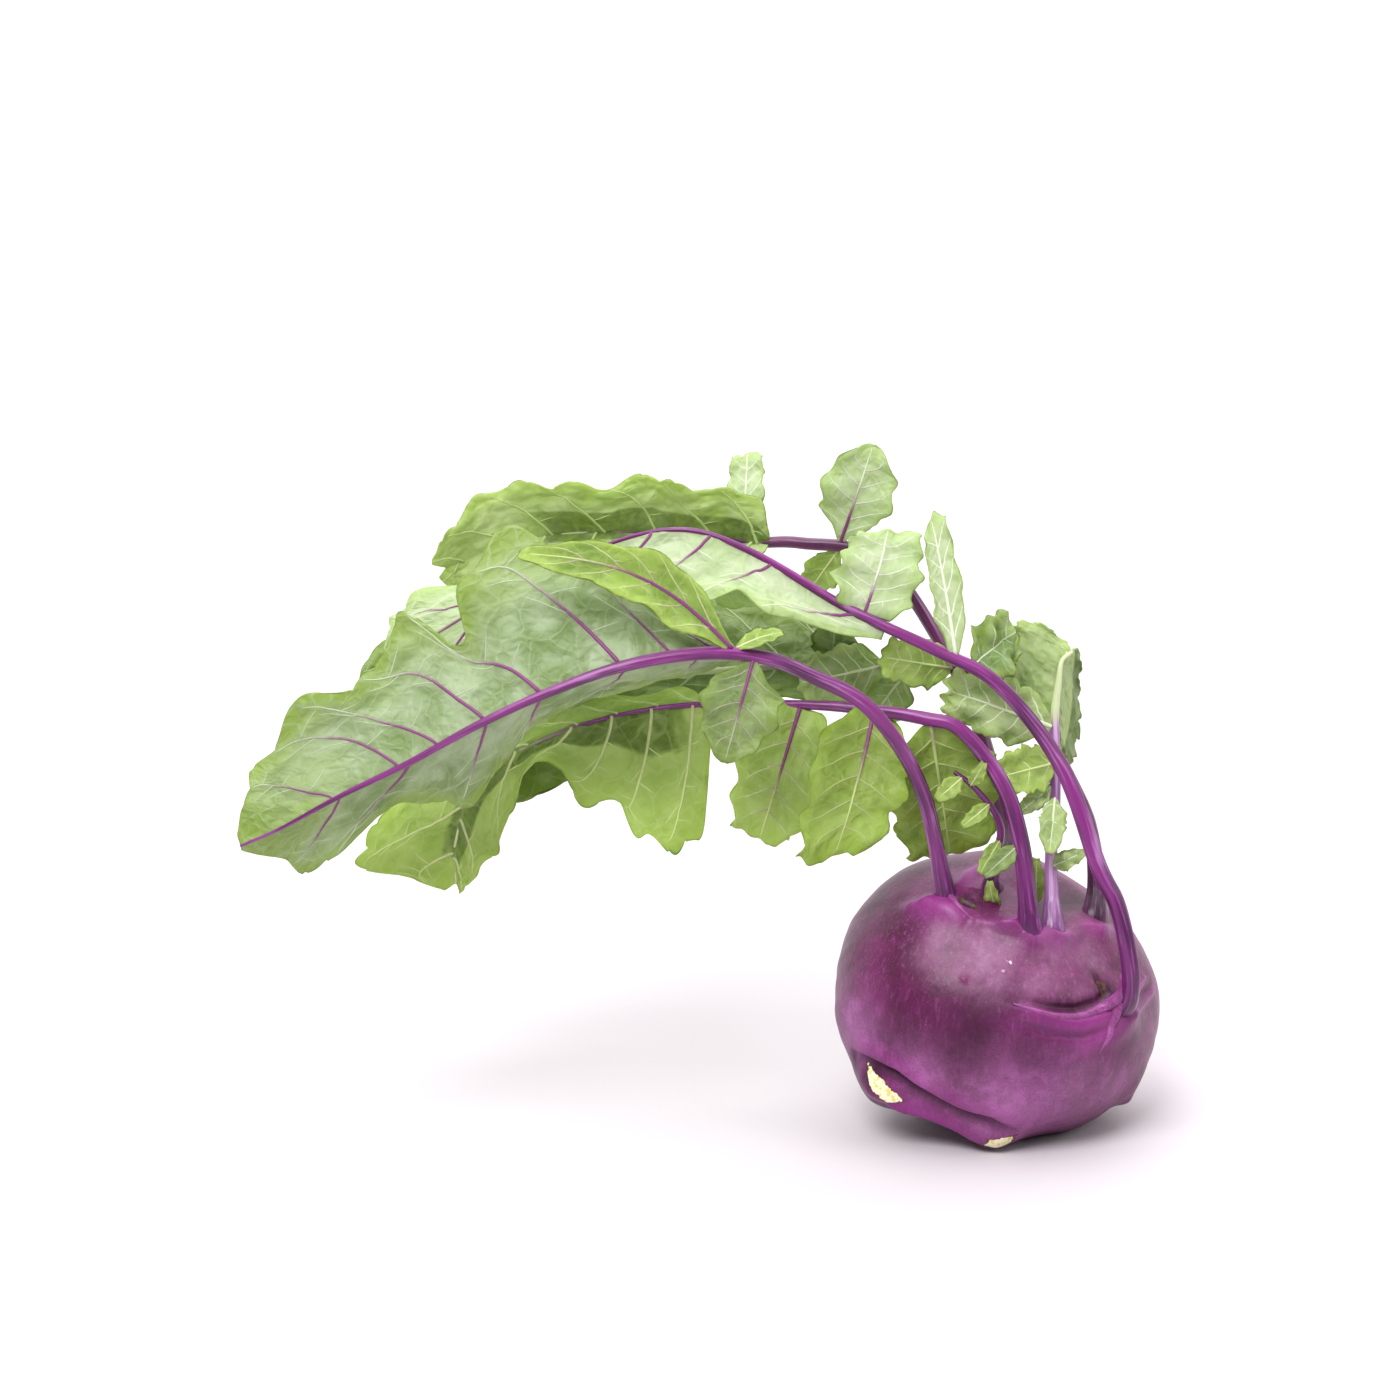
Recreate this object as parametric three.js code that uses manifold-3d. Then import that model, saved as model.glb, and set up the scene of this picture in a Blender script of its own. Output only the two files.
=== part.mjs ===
// Kohlrabi: a purple swollen stem (the bulb) with seven leaf stalks, their
// blades and leaflets, and the tiny leaves at its heart.
//
// Millimetres, +Z up. The origin is on the flat spot that the bulb rests on,
// straight below the bulb's centre. +X points away from the leaves' tips, and
// -Y is the side on which the longest leaf stalk leaves the crown.

import * as THREE from 'three';
import { mergeVertices } from 'three/addons/utils/BufferGeometryUtils.js';
import Module from 'manifold-3d';

const wasm = await Module();
wasm.setup();

// ---------------------------------------------------------------- driving sizes
const BULB_RADIUS = 45;          // widest half-width of the bulb
const BULB_HALF_HEIGHT = 36;     // centre to crown along the bulb's own axis
const BULB_CENTRE_HEIGHT = 35;   // centre of the bulb above the surface
const BULB_LEAN = [0.365, -0.26, 0.895];  // direction of the bulb's own axis
const BULB_SLICES = 46;
const BULB_STACKS = 27;
const CROWN_DIP = 3;             // hollow in the crown, around the young leaves
const GAP = 0.35;                // clearance between neighbouring pieces
const RIB_CLEARANCE = 0.7;       // blade to the rib that carries it
const STALK_SIDES = 8;
const STALK_RINGS = 2;           // rings for each stretch of a stalk's route
const BLADE_ROWS = 26;
const BLADE_COLUMNS = 6;
const BLADE_THICK = 0.8;
const BLADE_TEETH = 26 / 3;      // large teeth along each side of a blade
const BLADE_WAVES = 3.5;         // waves along each side of a blade
const LEAFLET_ROWS = 12;
const LEAFLET_COLUMNS = 4;
const LEAFLET_THICK = 0.7;
const LEAFLET_STALK = 0.8;       // half-width of a leaflet where it leaves its stalk
const LEAFLET_NECK = 0.3;        // share of a leaflet's length that widens from that
const LEAFLET_TIP_ROUNDS = 0.1;  // share of its length that a blunt tip's corners hold back
const LEAFLET_TEETH = 3.6;       // large teeth along each side of a leaflet
const LEAFLET_TOOTH_DEPTH = 0.09;  // their depth, as a share of its half-width
const LEAFLET_WAVES = 2.5;
const LEAFLET_WAVE_HEIGHT = 0.06;  // as a share of its width
const LEAFLET_CLEARANCE = 0.9;   // leaflet's base to the stalk that carries it

const vec = (p) => new THREE.Vector3(p[0], p[1], p[2]);

// ---------------------------------------------------------------- colours
const SKIN = { color: 0x7d2350, roughness: 0.42, metalness: 0 };
const STALK = { color: 0x8d4470, roughness: 0.45, metalness: 0 };
const LEAF_GREEN = { color: 0x7f9a63, roughness: 0.6, metalness: 0 };
const LEAF_YELLOW = { color: 0x9db35c, roughness: 0.6, metalness: 0 };
const LEAF_PURPLE = { color: 0x5a4a55, roughness: 0.6, metalness: 0 };

// ---------------------------------------------------------------- bulb
const lean = vec(BULB_LEAN).normalize();
const bulbCentre = new THREE.Vector3(0, 0, BULB_CENTRE_HEIGHT);

// Rounded swellings of the skin: where each leaf stalk leaves, the two cut
// leaf scars low on the left, and the root end below.
const SWELLINGS = [
  { at: [-15, -19, 66], high: 2.6, wide: 9 },
  { at: [8, -27, 60], high: 2.2, wide: 8 },
  { at: [32, -27, 38], high: 3.2, wide: 9 },
  { at: [25, -13, 59], high: 2.4, wide: 7 },
  { at: [4, 18, 64], high: 2.5, wide: 8 },
  { at: [-31, -21, 15], high: 6, wide: 11 },
  { at: [-1, -34, 4], high: 3.5, wide: 8 },
  { at: [-13, 9, 3], high: 6, wide: 10 },
  { at: [36, -12, 12], high: 1.6, wide: 6 },
  { at: [-43, -4, 22], high: 3, wide: 18 },
  { at: [43, 0, 38], high: 1.8, wide: 22 },
  { at: [-16, -20, 2], high: -2, wide: 9 },
];

// Raised lines in the skin that run from one leaf base or scar to the next.
const RIDGES = [
  { from: [-15, -21, 65], to: [8, -27, 60], high: 1.4, wide: 3.2 },
  { from: [4, -41, 45], to: [28, -31, 39], high: 1.5, wide: 3.2 },
  { from: [12, -41, 36], to: [32, -29, 31], high: 1.2, wide: 3.2 },
  { from: [33, -25, 38], to: [41, -12, 41], high: 1.3, wide: 3.2 },
  { from: [-30, -29, 23], to: [-3, -36, 9], high: 1.5, wide: 3.4 },
];

function nearestOnLine(point, start, end) {
  const line = new THREE.Line3(start, end);
  return line.closestPointToPoint(point, true, new THREE.Vector3());
}

// The skin's point for a direction from the bulb's centre, `extra` mm outside it.
function skinPoint(direction, extra = 0) {
  const along = direction.dot(lean);
  const across = direction.clone().addScaledVector(lean, -along);
  const point = bulbCentre.clone()
    .addScaledVector(across, BULB_RADIUS)
    .addScaledVector(lean, along * BULB_HALF_HEIGHT);
  const outward = across.clone().divideScalar(BULB_RADIUS)
    .addScaledVector(lean, along / BULB_HALF_HEIGHT).normalize();
  let lift = extra - CROWN_DIP * Math.exp(-((1 - along) / 0.035));
  for (const { at, high, wide } of SWELLINGS) {
    lift += high * Math.exp(-point.distanceToSquared(vec(at)) / (wide * wide));
  }
  for (const { from, to, high, wide } of RIDGES) {
    const near = nearestOnLine(point, vec(from), vec(to));
    lift += high * Math.exp(-point.distanceToSquared(near) / (wide * wide));
  }
  return point.addScaledVector(outward, lift);
}

// A sphere whose pole is turned to the bulb's axis, pulled out to the skin and
// flattened where it meets the surface.
function bulbGeometry(extra = 0) {
  const sphere = new THREE.SphereGeometry(1, BULB_SLICES, BULB_STACKS);
  sphere.applyQuaternion(
    new THREE.Quaternion().setFromUnitVectors(new THREE.Vector3(0, 1, 0), lean));
  sphere.deleteAttribute('normal');
  sphere.deleteAttribute('uv');
  const body = mergeVertices(sphere, 1e-4);
  const places = body.getAttribute('position');
  for (let i = 0; i < places.count; i += 1) {
    const direction = new THREE.Vector3().fromBufferAttribute(places, i).normalize();
    const point = skinPoint(direction, extra);
    point.z = Math.max(point.z, -extra);
    places.setXYZ(i, point.x, point.y, point.z);
  }
  return body;
}

// ---------------------------------------------------------------- closed shapes
// A tapered round stalk along route rows [x, y, z, radius], closed at both ends.
function stalkGeometry(route) {
  const curve = smoothLine(route);
  const rings = (route.length - 1) * STALK_RINGS;
  const corners = [];
  const faces = [];
  let side = new THREE.Vector3(0, 1, 0);
  for (let ring = 0; ring <= rings; ring += 1) {
    const t = ring / rings;
    const along = curve.getTangent(t).normalize();
    side = side.addScaledVector(along, -side.dot(along)).normalize();
    const other = new THREE.Vector3().crossVectors(along, side);
    const centre = curve.getPoint(t);
    const radius = valueAlong(route.map((row) => row[3]), t * (route.length - 1));
    for (let k = 0; k < STALK_SIDES; k += 1) {
      const turn = (2 * Math.PI * k) / STALK_SIDES;
      corners.push(centre.clone()
        .addScaledVector(side, radius * Math.cos(turn))
        .addScaledVector(other, radius * Math.sin(turn)));
    }
    for (let k = 0; ring > 0 && k < STALK_SIDES; k += 1) {
      const a = (ring - 1) * STALK_SIDES + k;
      const b = (ring - 1) * STALK_SIDES + ((k + 1) % STALK_SIDES);
      faces.push(a, b, b + STALK_SIDES, a, b + STALK_SIDES, a + STALK_SIDES);
    }
  }
  const last = rings * STALK_SIDES;
  for (let k = 1; k < STALK_SIDES - 1; k += 1) {
    faces.push(0, k + 1, k, last, last + k, last + k + 1);
  }
  return closedBody(corners, faces);
}

function smoothLine(points) {
  return new THREE.CatmullRomCurve3(points.map(vec), false, 'catmullrom', 0.5);
}

// Straight-line reading of a list at a fractional index.
function valueAlong(list, index) {
  const low = Math.min(Math.floor(index), list.length - 2);
  return THREE.MathUtils.lerp(list[low], list[low + 1], index - low);
}

function closedBody(corners, faces) {
  const body = new THREE.BufferGeometry();
  const flat = corners.flatMap((p) => [p.x, p.y, p.z]);
  body.setAttribute('position', new THREE.Float32BufferAttribute(flat, 3));
  body.setIndex(faces);
  return body;
}

// A thin sheet through surface(u, v), u and v from 0 to 1, with both faces cut
// into triangles alike, so that a waved sheet keeps its thickness.
function sheetGeometry(rows, columns, thick, surface) {
  const corners = [];
  const step = 1e-3;
  for (let r = 0; r <= rows; r += 1) {
    for (let c = 0; c <= columns; c += 1) {
      const u = r / rows;
      const v = c / columns;
      const du = surface(Math.min(u + step, 1), v).sub(surface(Math.max(u - step, 0), v));
      const dv = surface(u, Math.min(v + step, 1)).sub(surface(u, Math.max(v - step, 0)));
      const normal = new THREE.Vector3().crossVectors(du, dv).normalize();
      const middle = surface(u, v);
      corners.push(middle.clone().addScaledVector(normal, thick / 2));
      corners.push(middle.clone().addScaledVector(normal, -thick / 2));
    }
  }
  const at = (r, c, face) => 2 * (r * (columns + 1) + c) + face;
  const faces = [];
  const quad = (a, b, c, d) => faces.push(a, b, c, a, c, d);
  for (let r = 0; r < rows; r += 1) {
    for (let c = 0; c < columns; c += 1) {
      quad(at(r, c, 0), at(r + 1, c, 0), at(r + 1, c + 1, 0), at(r, c + 1, 0));
      faces.push(at(r, c, 1), at(r + 1, c + 1, 1), at(r + 1, c, 1));
      faces.push(at(r, c, 1), at(r, c + 1, 1), at(r + 1, c + 1, 1));
    }
    quad(at(r, 0, 1), at(r + 1, 0, 1), at(r + 1, 0, 0), at(r, 0, 0));
    quad(at(r, columns, 0), at(r + 1, columns, 0), at(r + 1, columns, 1), at(r, columns, 1));
  }
  for (let c = 0; c < columns; c += 1) {
    quad(at(0, c, 0), at(0, c + 1, 0), at(0, c + 1, 1), at(0, c, 1));
    quad(at(rows, c, 1), at(rows, c + 1, 1), at(rows, c + 1, 0), at(rows, c, 0));
  }
  return closedBody(corners, faces);
}

// A leaf blade on both sides of its stalk. Each edge row is [place along the
// stalk's route, upper edge point, lower edge point].
function bladeGeometry({ route, back, edges, teeth, ripple }) {
  const rib = smoothLine(route);
  const upper = smoothLine(edges.map((row) => row[1]));
  const lower = smoothLine(edges.map((row) => row[2]));
  const behind = vec(back).normalize();
  const places = edges.map((row) => row[0]);
  const radii = route.map((row) => row[3]);
  return sheetGeometry(BLADE_ROWS, BLADE_COLUMNS, BLADE_THICK, (u, v) => {
    const place = valueAlong(places, u * (places.length - 1));
    const offset = valueAlong(radii, place) + BLADE_THICK / 2 + RIB_CLEARANCE;
    const middle = rib.getPoint(place / (route.length - 1)).addScaledVector(behind, offset);
    const reach = Math.abs(2 * v - 1);
    const edge = (v < 0.5 ? lower : upper).getPoint(u).addScaledVector(behind, offset);
    const grown = Math.min(1, 8 * u, 8 * (1 - u));
    const tooth = 0.5 + 0.5 * Math.cos(2 * Math.PI * u * BLADE_TEETH);
    const notch = 1 - teeth * grown * tooth * reach ** 3;
    const turn = v < 0.5 ? 0 : 2;
    const wave = reach ** 2 * Math.sin(2 * Math.PI * BLADE_WAVES * u + turn);
    const belly = 0.6 * Math.sin(Math.PI * reach);
    return middle.lerp(edge, reach * notch)
      .addScaledVector(behind, ripple * grown * (wave + belly));
  });
}

// The point just clear of a stalk's side, at `place` on its route, that looks
// towards `tip`.
function stalkSide(route, place, tip) {
  const curve = smoothLine(route);
  const t = place / (route.length - 1);
  const along = curve.getTangent(t).normalize();
  const centre = curve.getPoint(t);
  const outward = vec(tip).sub(centre);
  outward.addScaledVector(along, -outward.dot(along)).normalize();
  const radius = valueAlong(route.map((row) => row[3]), place);
  return centre.addScaledVector(outward, radius + LEAFLET_CLEARANCE);
}

// A leaflet from its base to its tip, facing `face`, with a toothed outline. It
// is widest near its base where `peak` is small and curves sideways by `bend`.
// `root` is the share of its width at its base, and `blunt` the share at its tip
// where that is cut off. `slant` makes one side longer than the other.
function leafletGeometry(start, {
  tip, wide, face, arch = 3, cup = 2, peak = 0.8, bend = 0, root = 0, blunt = 0, slant = 0,
}) {
  const reach = vec(tip).sub(start);
  const facing = vec(face);
  facing.addScaledVector(reach, -facing.dot(reach) / reach.lengthSq()).normalize();
  const side = new THREE.Vector3().crossVectors(reach, facing).normalize();
  return sheetGeometry(LEAFLET_ROWS, LEAFLET_COLUMNS, LEAFLET_THICK, (u, v) => {
    const across = 2 * v - 1;
    const neck = root + (1 - root) * Math.min(1, u / LEAFLET_NECK) ** 0.7;
    const oval = Math.abs(Math.sin(Math.PI * u ** peak)) ** 0.6;
    const belly = neck * (blunt ? 1 - (1 - blunt) * u * u : oval);
    const turn = across < 0 ? 0 : 1.9;
    const tooth = Math.abs(across) * Math.cos(2 * Math.PI * LEAFLET_TEETH * u + turn);
    const half = LEAFLET_STALK
      + (wide / 2 - LEAFLET_STALK) * belly * (1 + LEAFLET_TOOTH_DEPTH * tooth);
    const wave = Math.abs(across) * Math.sin(2 * Math.PI * LEAFLET_WAVES * u);
    const rise = arch * Math.sin(Math.PI * u)
      + belly * (cup * across * across + LEAFLET_WAVE_HEIGHT * wide * wave);
    const rounded = LEAFLET_TIP_ROUNDS * blunt * (u * across) ** 2;
    return start.clone().addScaledVector(reach, u * (1 + slant * across - rounded))
      .addScaledVector(side, across * half + bend * Math.sin(Math.PI * u))
      .addScaledVector(facing, rise);
  });
}

// ---------------------------------------------------------------- the leaves
// Routes run from inside the bulb to the blade's tip, rows [x, y, z, radius].
const LEAVES = [
  {
    name: 'leaf_1',
    look: LEAF_GREEN,
    back: [0, 1, 0.1],
    teeth: 0.12,
    ripple: 2,
    route: [
      [-10, -8, 50, 3.8], [-14, -17, 63, 3.0], [-18, -18, 84, 2.2], [-22, -21, 100, 2.1],
      [-29, -27, 115, 2.1], [-39, -32, 128, 2.1], [-52, -36, 136, 2.0], [-65, -39, 142, 1.9],
      [-82, -42, 144, 1.8], [-103, -44, 141, 1.6], [-123, -45, 134, 1.3], [-142, -45, 125, 1.1],
      [-161, -44, 114, 0.9], [-180, -42, 104, 0.7], [-195, -40, 95, 0.5], [-207, -38, 89, 0.4],
    ],
    edges: [
      [7.4, [-75, -39, 146], [-74, -39, 140]],
      [8.1, [-92, -36, 156], [-88, -37, 134]],
      [8.8, [-109, -30, 167], [-103, -36, 131]],
      [9.5, [-132, -27, 175], [-120, -34, 124]],
      [10.1, [-148, -29, 165], [-131, -33, 116]],
      [10.6, [-148, -34, 147], [-137, -32, 107]],
      [11.2, [-166, -30, 152], [-147, -31, 96]],
      [11.8, [-173, -34, 136], [-158, -33, 98]],
      [12.35, [-189, -32, 131], [-171, -34, 94]],
      [13.05, [-202, -33, 113], [-187, -30, 78]],
      [13.85, [-206, -35, 104], [-196, -33, 82]],
      [15, [-208, -37, 91], [-207, -37, 87]],
    ],
    leaflets: [
      {
        on: 7.55, tip: [-131, -48, 173], wide: 16, face: [0.2, -0.9, 0.4],
        arch: 3, cup: 2, peak: 0.65, bend: 7,
      },
      { on: 7.2, tip: [-76, -47, 115], wide: 22, face: [0, -1, 0.1], arch: 2, cup: 2 },
      { on: 7.5, tip: [-60, -37, 148], wide: 7, face: [0, -0.5, 0.9], arch: 1, cup: 1 },
    ],
  },
  {
    name: 'leaf_2',
    look: LEAF_YELLOW,
    back: [0, 0.5, -0.85],
    teeth: 0.12,
    ripple: 2,
    route: [
      [9, -12, 46, 4.4], [8, -25, 58, 3.6], [7, -26, 70, 2.6], [5, -21, 86, 2.4],
      [0, -18, 101, 2.3], [-11, -15, 115, 2.0], [-21, -13, 118, 1.9], [-44, -8, 120, 1.5],
      [-72, -5, 120, 1.0], [-96, -3, 118, 0.7], [-121, -2, 111, 0.5], [-143, -2, 98, 0.4],
      [-150, -4, 80, 0.4], [-150, -6, 69, 0.4],
    ],
    edges: [
      [8.3, [-79, -1, 120], [-79, -6, 117]],
      [8.55, [-84, 8, 121], [-82, -17, 87]],
      [8.85, [-91, 12, 121], [-89, -20, 82]],
      [9.15, [-100, 14, 120], [-98, -20, 83]],
      [9.4, [-109, 14, 119], [-105, -15, 94]],
      [9.65, [-116, 14, 117], [-116, -13, 95]],
      [9.95, [-124, 14, 115], [-125, -10, 104]],
      [10.3, [-132, 14, 111], [-131, -9, 101]],
      [10.9, [-152, 12, 99], [-134, -9, 90]],
      [11.65, [-172, 5, 85], [-138, -7, 77]],
      [12.05, [-180, 1, 77], [-143, -6, 72]],
      [12.5, [-167, -2, 71], [-147, -6, 69]],
      [13, [-153, -6, 68], [-149, -6, 67]],
    ],
    leaflets: [
      { on: 7.4, tip: [-67, -19, 83], wide: 27, face: [0, -1, 0.2], cup: 2, root: 0.4, blunt: 0.6 },
      {
        on: 6.65, tip: [-47, -31, 81], wide: 30, face: [0.2, -1, 0.1],
        arch: 3, cup: 2, root: 0.3, blunt: 0.65, slant: 0.12,
      },
      { on: 5.9, tip: [-13, -4, 74], wide: 32, face: [0, -1, 0.3], arch: 0.5, cup: 1, blunt: 0.7 },
      { on: 2.9, tip: [-5, -26, 77], wide: 6, face: [0, -1, 0.3], arch: 1, cup: 1 },
    ],
  },
  {
    name: 'leaf_3',
    look: LEAF_GREEN,
    back: [0, 0.25, -0.97],
    teeth: 0.12,
    ripple: 2,
    route: [
      [24, -13, 34, 4.8], [32, -28, 39, 3.7], [35, -35, 48, 2.6], [34, -35, 59, 2.4],
      [31, -32, 71, 2.4], [26, -29, 81, 2.4], [16, -22, 107, 2.2], [-1, -15, 128, 1.9],
      [-18, -12, 137, 1.7], [-42, -9, 148, 1.4], [-69, -4, 163, 1.0], [-88, 0, 168, 0.7],
      [-110, 4, 162, 0.5], [-138, 8, 147, 0.5], [-164, 12, 130, 0.4], [-169, 13, 127, 0.4],
    ],
    edges: [
      [8.6, [-31, -6, 143], [-33, -11, 142]],
      [9.0, [-42, 4, 143], [-45, -16, 146]],
      [9.6, [-60, 13, 144], [-65, -20, 151]],
      [9.95, [-70, 16, 144], [-75, -18, 154]],
      [10.5, [-81, 20, 145], [-85, -16, 156]],
      [11.0, [-91, 23, 145], [-96, -12, 155]],
      [11.5, [-102, 25, 143], [-106, -9, 152]],
      [12, [-116, 26, 142], [-117, -6, 145]],
      [12.5, [-131, 26, 147], [-129, -4, 138]],
      [13.2, [-159, 23, 147], [-150, 1, 122]],
      [13.6, [-168, 20, 143], [-161, 5, 118]],
      [14.0, [-169, 16, 137], [-168, 9, 120]],
      [15, [-170, 14, 129], [-169, 13, 124]],
    ],
    leaflets: [
      {
        on: 7.75, tip: [-20, -2, 174], wide: 10, face: [0.3, -1, 0],
        arch: 1, cup: 2, blunt: 0.72, slant: 0.08,
      },
      {
        on: 8.85, tip: [-31, 6, 167], wide: 25, face: [0.2, -1, 0.2],
        arch: 2, cup: 2, root: 0.6, blunt: 0.7, slant: 0.12,
      },
      {
        on: 7.45, tip: [4, -4, 141], wide: 18, face: [0.2, -1, 0.2],
        arch: 1, cup: 1, blunt: 0.7, slant: -0.13,
      },
    ],
  },
  {
    name: 'leaf_4',
    look: LEAF_GREEN,
    back: [0, 1, 0],
    teeth: 0.1,
    ripple: 1,
    route: [
      [13, -10, 46, 2.8], [14, -22, 59, 2.5], [14, -18, 68, 1.8], [14, -12, 80, 1.7],
      [15, -8, 93, 1.6], [15, -4, 107, 1.5], [15, -1, 116, 1.3], [16, 1, 124, 0.9],
      [17, 3, 130, 0.6], [20, 6, 132, 0.5],
    ],
    edges: [
      [5, [11, -4, 110], [17, -3, 102]],
      [5.8, [7, -4, 117], [20, -1, 101]],
      [6.6, [1, -3, 124], [22, 3, 104]],
      [7.3, [-1, -1, 133], [23, 7, 112]],
      [7.8, [2, 1, 141], [23, 10, 121]],
      [8.4, [9, 3, 141], [23, 10, 129]],
      [9, [19, 8, 134], [22, 9, 132]],
    ],
    leaflets: [
      { on: 4.05, tip: [13, -22, 82], wide: 8, face: [0, -1, 0.3], arch: 1, cup: 1 },
      { on: 4.3, tip: [5, -9, 90], wide: 6, face: [0, -1, 0.3], arch: 1, cup: 1 },
      { on: 4.7, tip: [-2, -13, 101], wide: 15, face: [0, -1, 0.3], arch: 1, cup: 1, blunt: 0.6 },
      { on: 2.7, tip: [23, -19, 82], wide: 6, face: [0, -1, 0.3], arch: 1, cup: 1 },
      { on: 5.6, tip: [-17, -6, 125], wide: 18, face: [0.1, -1, 0.3], arch: 1, cup: 0, blunt: 0.7 },
    ],
  },
  {
    name: 'leaf_5',
    look: LEAF_GREEN,
    back: [0, 0.6, -0.8],
    teeth: 0.12,
    ripple: 2,
    route: [
      [24, 2, 46, 4.4], [26, -8, 58, 3.4], [27, -4, 67, 2.4], [26, 1, 79, 2.2],
      [22, 4, 91, 2.1], [9, 8, 113, 1.9], [-8, 9, 125, 1.8], [-27, 11, 127, 1.5],
      [-55, 14, 126, 1.2], [-88, 21, 122, 0.9], [-121, 26, 121, 0.7], [-152, 30, 121, 0.5],
      [-166, 31, 118, 0.5], [-177, 31, 115, 0.4],
    ],
    edges: [
      [7.3, [-36, 16, 131], [-35, 9, 122]],
      [7.7, [-47, 22, 139], [-45, 8, 119]],
      [8.1, [-59, 26, 145], [-55, 8, 118]],
      [8.5, [-73, 30, 146], [-69, 10, 117]],
      [9.0, [-91, 34, 144], [-85, 12, 116]],
      [9.35, [-103, 35, 139], [-96, 14, 115]],
      [9.75, [-119, 37, 139], [-110, 12, 94]],
      [10.4, [-144, 38, 137], [-134, 12, 89]],
      [10.8, [-158, 38, 136], [-146, 16, 95]],
      [11.4, [-168, 36, 133], [-158, 20, 100]],
      [12.1, [-176, 33, 125], [-168, 26, 107]],
      [13, [-178, 31, 117], [-176, 31, 113]],
    ],
    leaflets: [
      { on: 6.3, tip: [-34, -6, 134], wide: 14, face: [0, -1, 0.2], arch: 1, cup: 1, blunt: 0.8 },
      { on: 7.7, tip: [-45, 9, 143], wide: 13, face: [0, -1, 0.2], arch: 1, cup: 1 },
      { on: 6.9, tip: [-37, 22, 106], wide: 14, face: [0, -1, 0.1], arch: 1, cup: 1 },
      { on: 7.2, tip: [-57, 2, 124], wide: 18, face: [0, -1, 0.1], arch: 0.5, cup: 1, blunt: 0.6 },
    ],
  },
  {
    name: 'leaf_6',
    look: LEAF_PURPLE,
    back: [0, -1, 0.1],
    teeth: 0.12,
    ripple: 2,
    route: [
      [4, 8, 46, 4.4], [4, 16, 60, 3.6], [4, 22, 66, 2.8], [3, 27, 75, 2.4],
      [0, 33, 88, 2.2], [-5, 39, 104, 2.1], [-14, 44, 123, 1.9], [-32, 51, 147, 1.8],
      [-54, 54, 151, 1.7], [-68, 55, 151, 1.5], [-82, 56, 153, 1.1], [-111, 56, 154, 0.8],
      [-133, 54, 152, 0.6], [-154, 50, 145, 0.4],
    ],
    edges: [
      [8.6, [-63, 56, 154], [-64, 54, 149]],
      [9.1, [-66, 55, 165], [-71, 54, 143]],
      [9.85, [-77, 53, 168], [-82, 54, 138]],
      [10.3, [-88, 51, 170], [-92, 54, 135]],
      [10.6, [-96, 51, 173], [-102, 54, 132]],
      [10.93, [-108, 52, 169], [-113, 54, 132]],
      [11.35, [-121, 53, 170], [-122, 54, 132]],
      [11.8, [-133, 52, 170], [-132, 54, 131]],
      [12.2, [-144, 51, 167], [-140, 54, 131]],
      [12.65, [-152, 50, 159], [-148, 54, 132]],
      [12.9, [-157, 50, 150], [-153, 54, 138]],
      [13, [-158, 50, 146], [-156, 52, 142]],
    ],
    leaflets: [
      { on: 7.5, tip: [-34, 52, 180], wide: 21, face: [0, -1, 0.1], arch: 2, cup: 2, peak: 1.15 },
      {
        on: 9.2, tip: [-69, 66, 176], wide: 11, face: [0, -1, 0.1],
        arch: 2, cup: 1, blunt: 0.8, slant: 0.05,
      },
      { on: 7.5, tip: [-52, 62, 135], wide: 11, face: [0, -1, 0.1], arch: 1, cup: 1 },
    ],
  },
  {
    name: 'leaf_7',
    look: LEAF_YELLOW,
    route: [
      [3, -3, 56, 2.2], [-2, -11, 69, 1.8], [-1, -12, 79, 1.2], [0, -14, 87, 1.0],
      [-3, -16, 94, 0.9], [-8, -17, 100, 0.8], [-13, -17, 104, 0.6],
    ],
    leaflets: [
      { on: 2.5, tip: [-6, -20, 76], wide: 5, face: [0, -1, 0.2], arch: 0.6, cup: 0.6 },
      { on: 4.1, tip: [-11, -22, 90], wide: 5, face: [0, -1, 0.2], arch: 0.6, cup: 0.6 },
      { on: 5.1, tip: [-5, -21, 108], wide: 5, face: [0, -1, 0.2], arch: 0.6, cup: 0.6 },
      { on: 5.6, tip: [-18, -20, 97], wide: 6, face: [0, -1, 0.2], arch: 0.6, cup: 0.6 },
    ],
  },
];

// Small unopened leaves in the middle of the crown.
const HEART_LEAVES = [
  { base: [-1, -16, 65], tip: [-3, -20, 74], wide: 5, face: [-0.3, -1, 0.3], arch: 1, cup: 1 },
  { base: [10, -10, 64], tip: [10, -12, 78], wide: 5, face: [0, -1, 0.2], arch: 1, cup: 1 },
];

// ---------------------------------------------------------------- assembly
function toSolid(geometry) {
  const merged = geometry.index ? geometry : mergeVertices(geometry, 1e-4);
  return new wasm.Manifold(new wasm.Mesh({
    numProp: 3,
    vertProperties: new Float32Array(merged.getAttribute('position').array),
    triVerts: new Uint32Array(merged.index.array),
  }));
}

function fromSolid(solid) {
  const mesh = solid.getMesh();
  const geometry = new THREE.BufferGeometry();
  geometry.setAttribute('position', new THREE.Float32BufferAttribute(mesh.vertProperties, 3));
  geometry.setIndex([...mesh.triVerts]);
  return geometry;
}

const kohlrabi = new THREE.Group();

function addPiece(name, geometry, look, group) {
  geometry.computeVertexNormals();
  const piece = new THREE.Mesh(geometry, new THREE.MeshStandardMaterial(look));
  piece.name = name;
  group.add(piece);
}

addPiece('bulb', bulbGeometry(), SKIN, kohlrabi);

const keepClear = toSolid(bulbGeometry(GAP));
const clearOfBulb = (geometry) => fromSolid(toSolid(geometry).subtract(keepClear));

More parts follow.
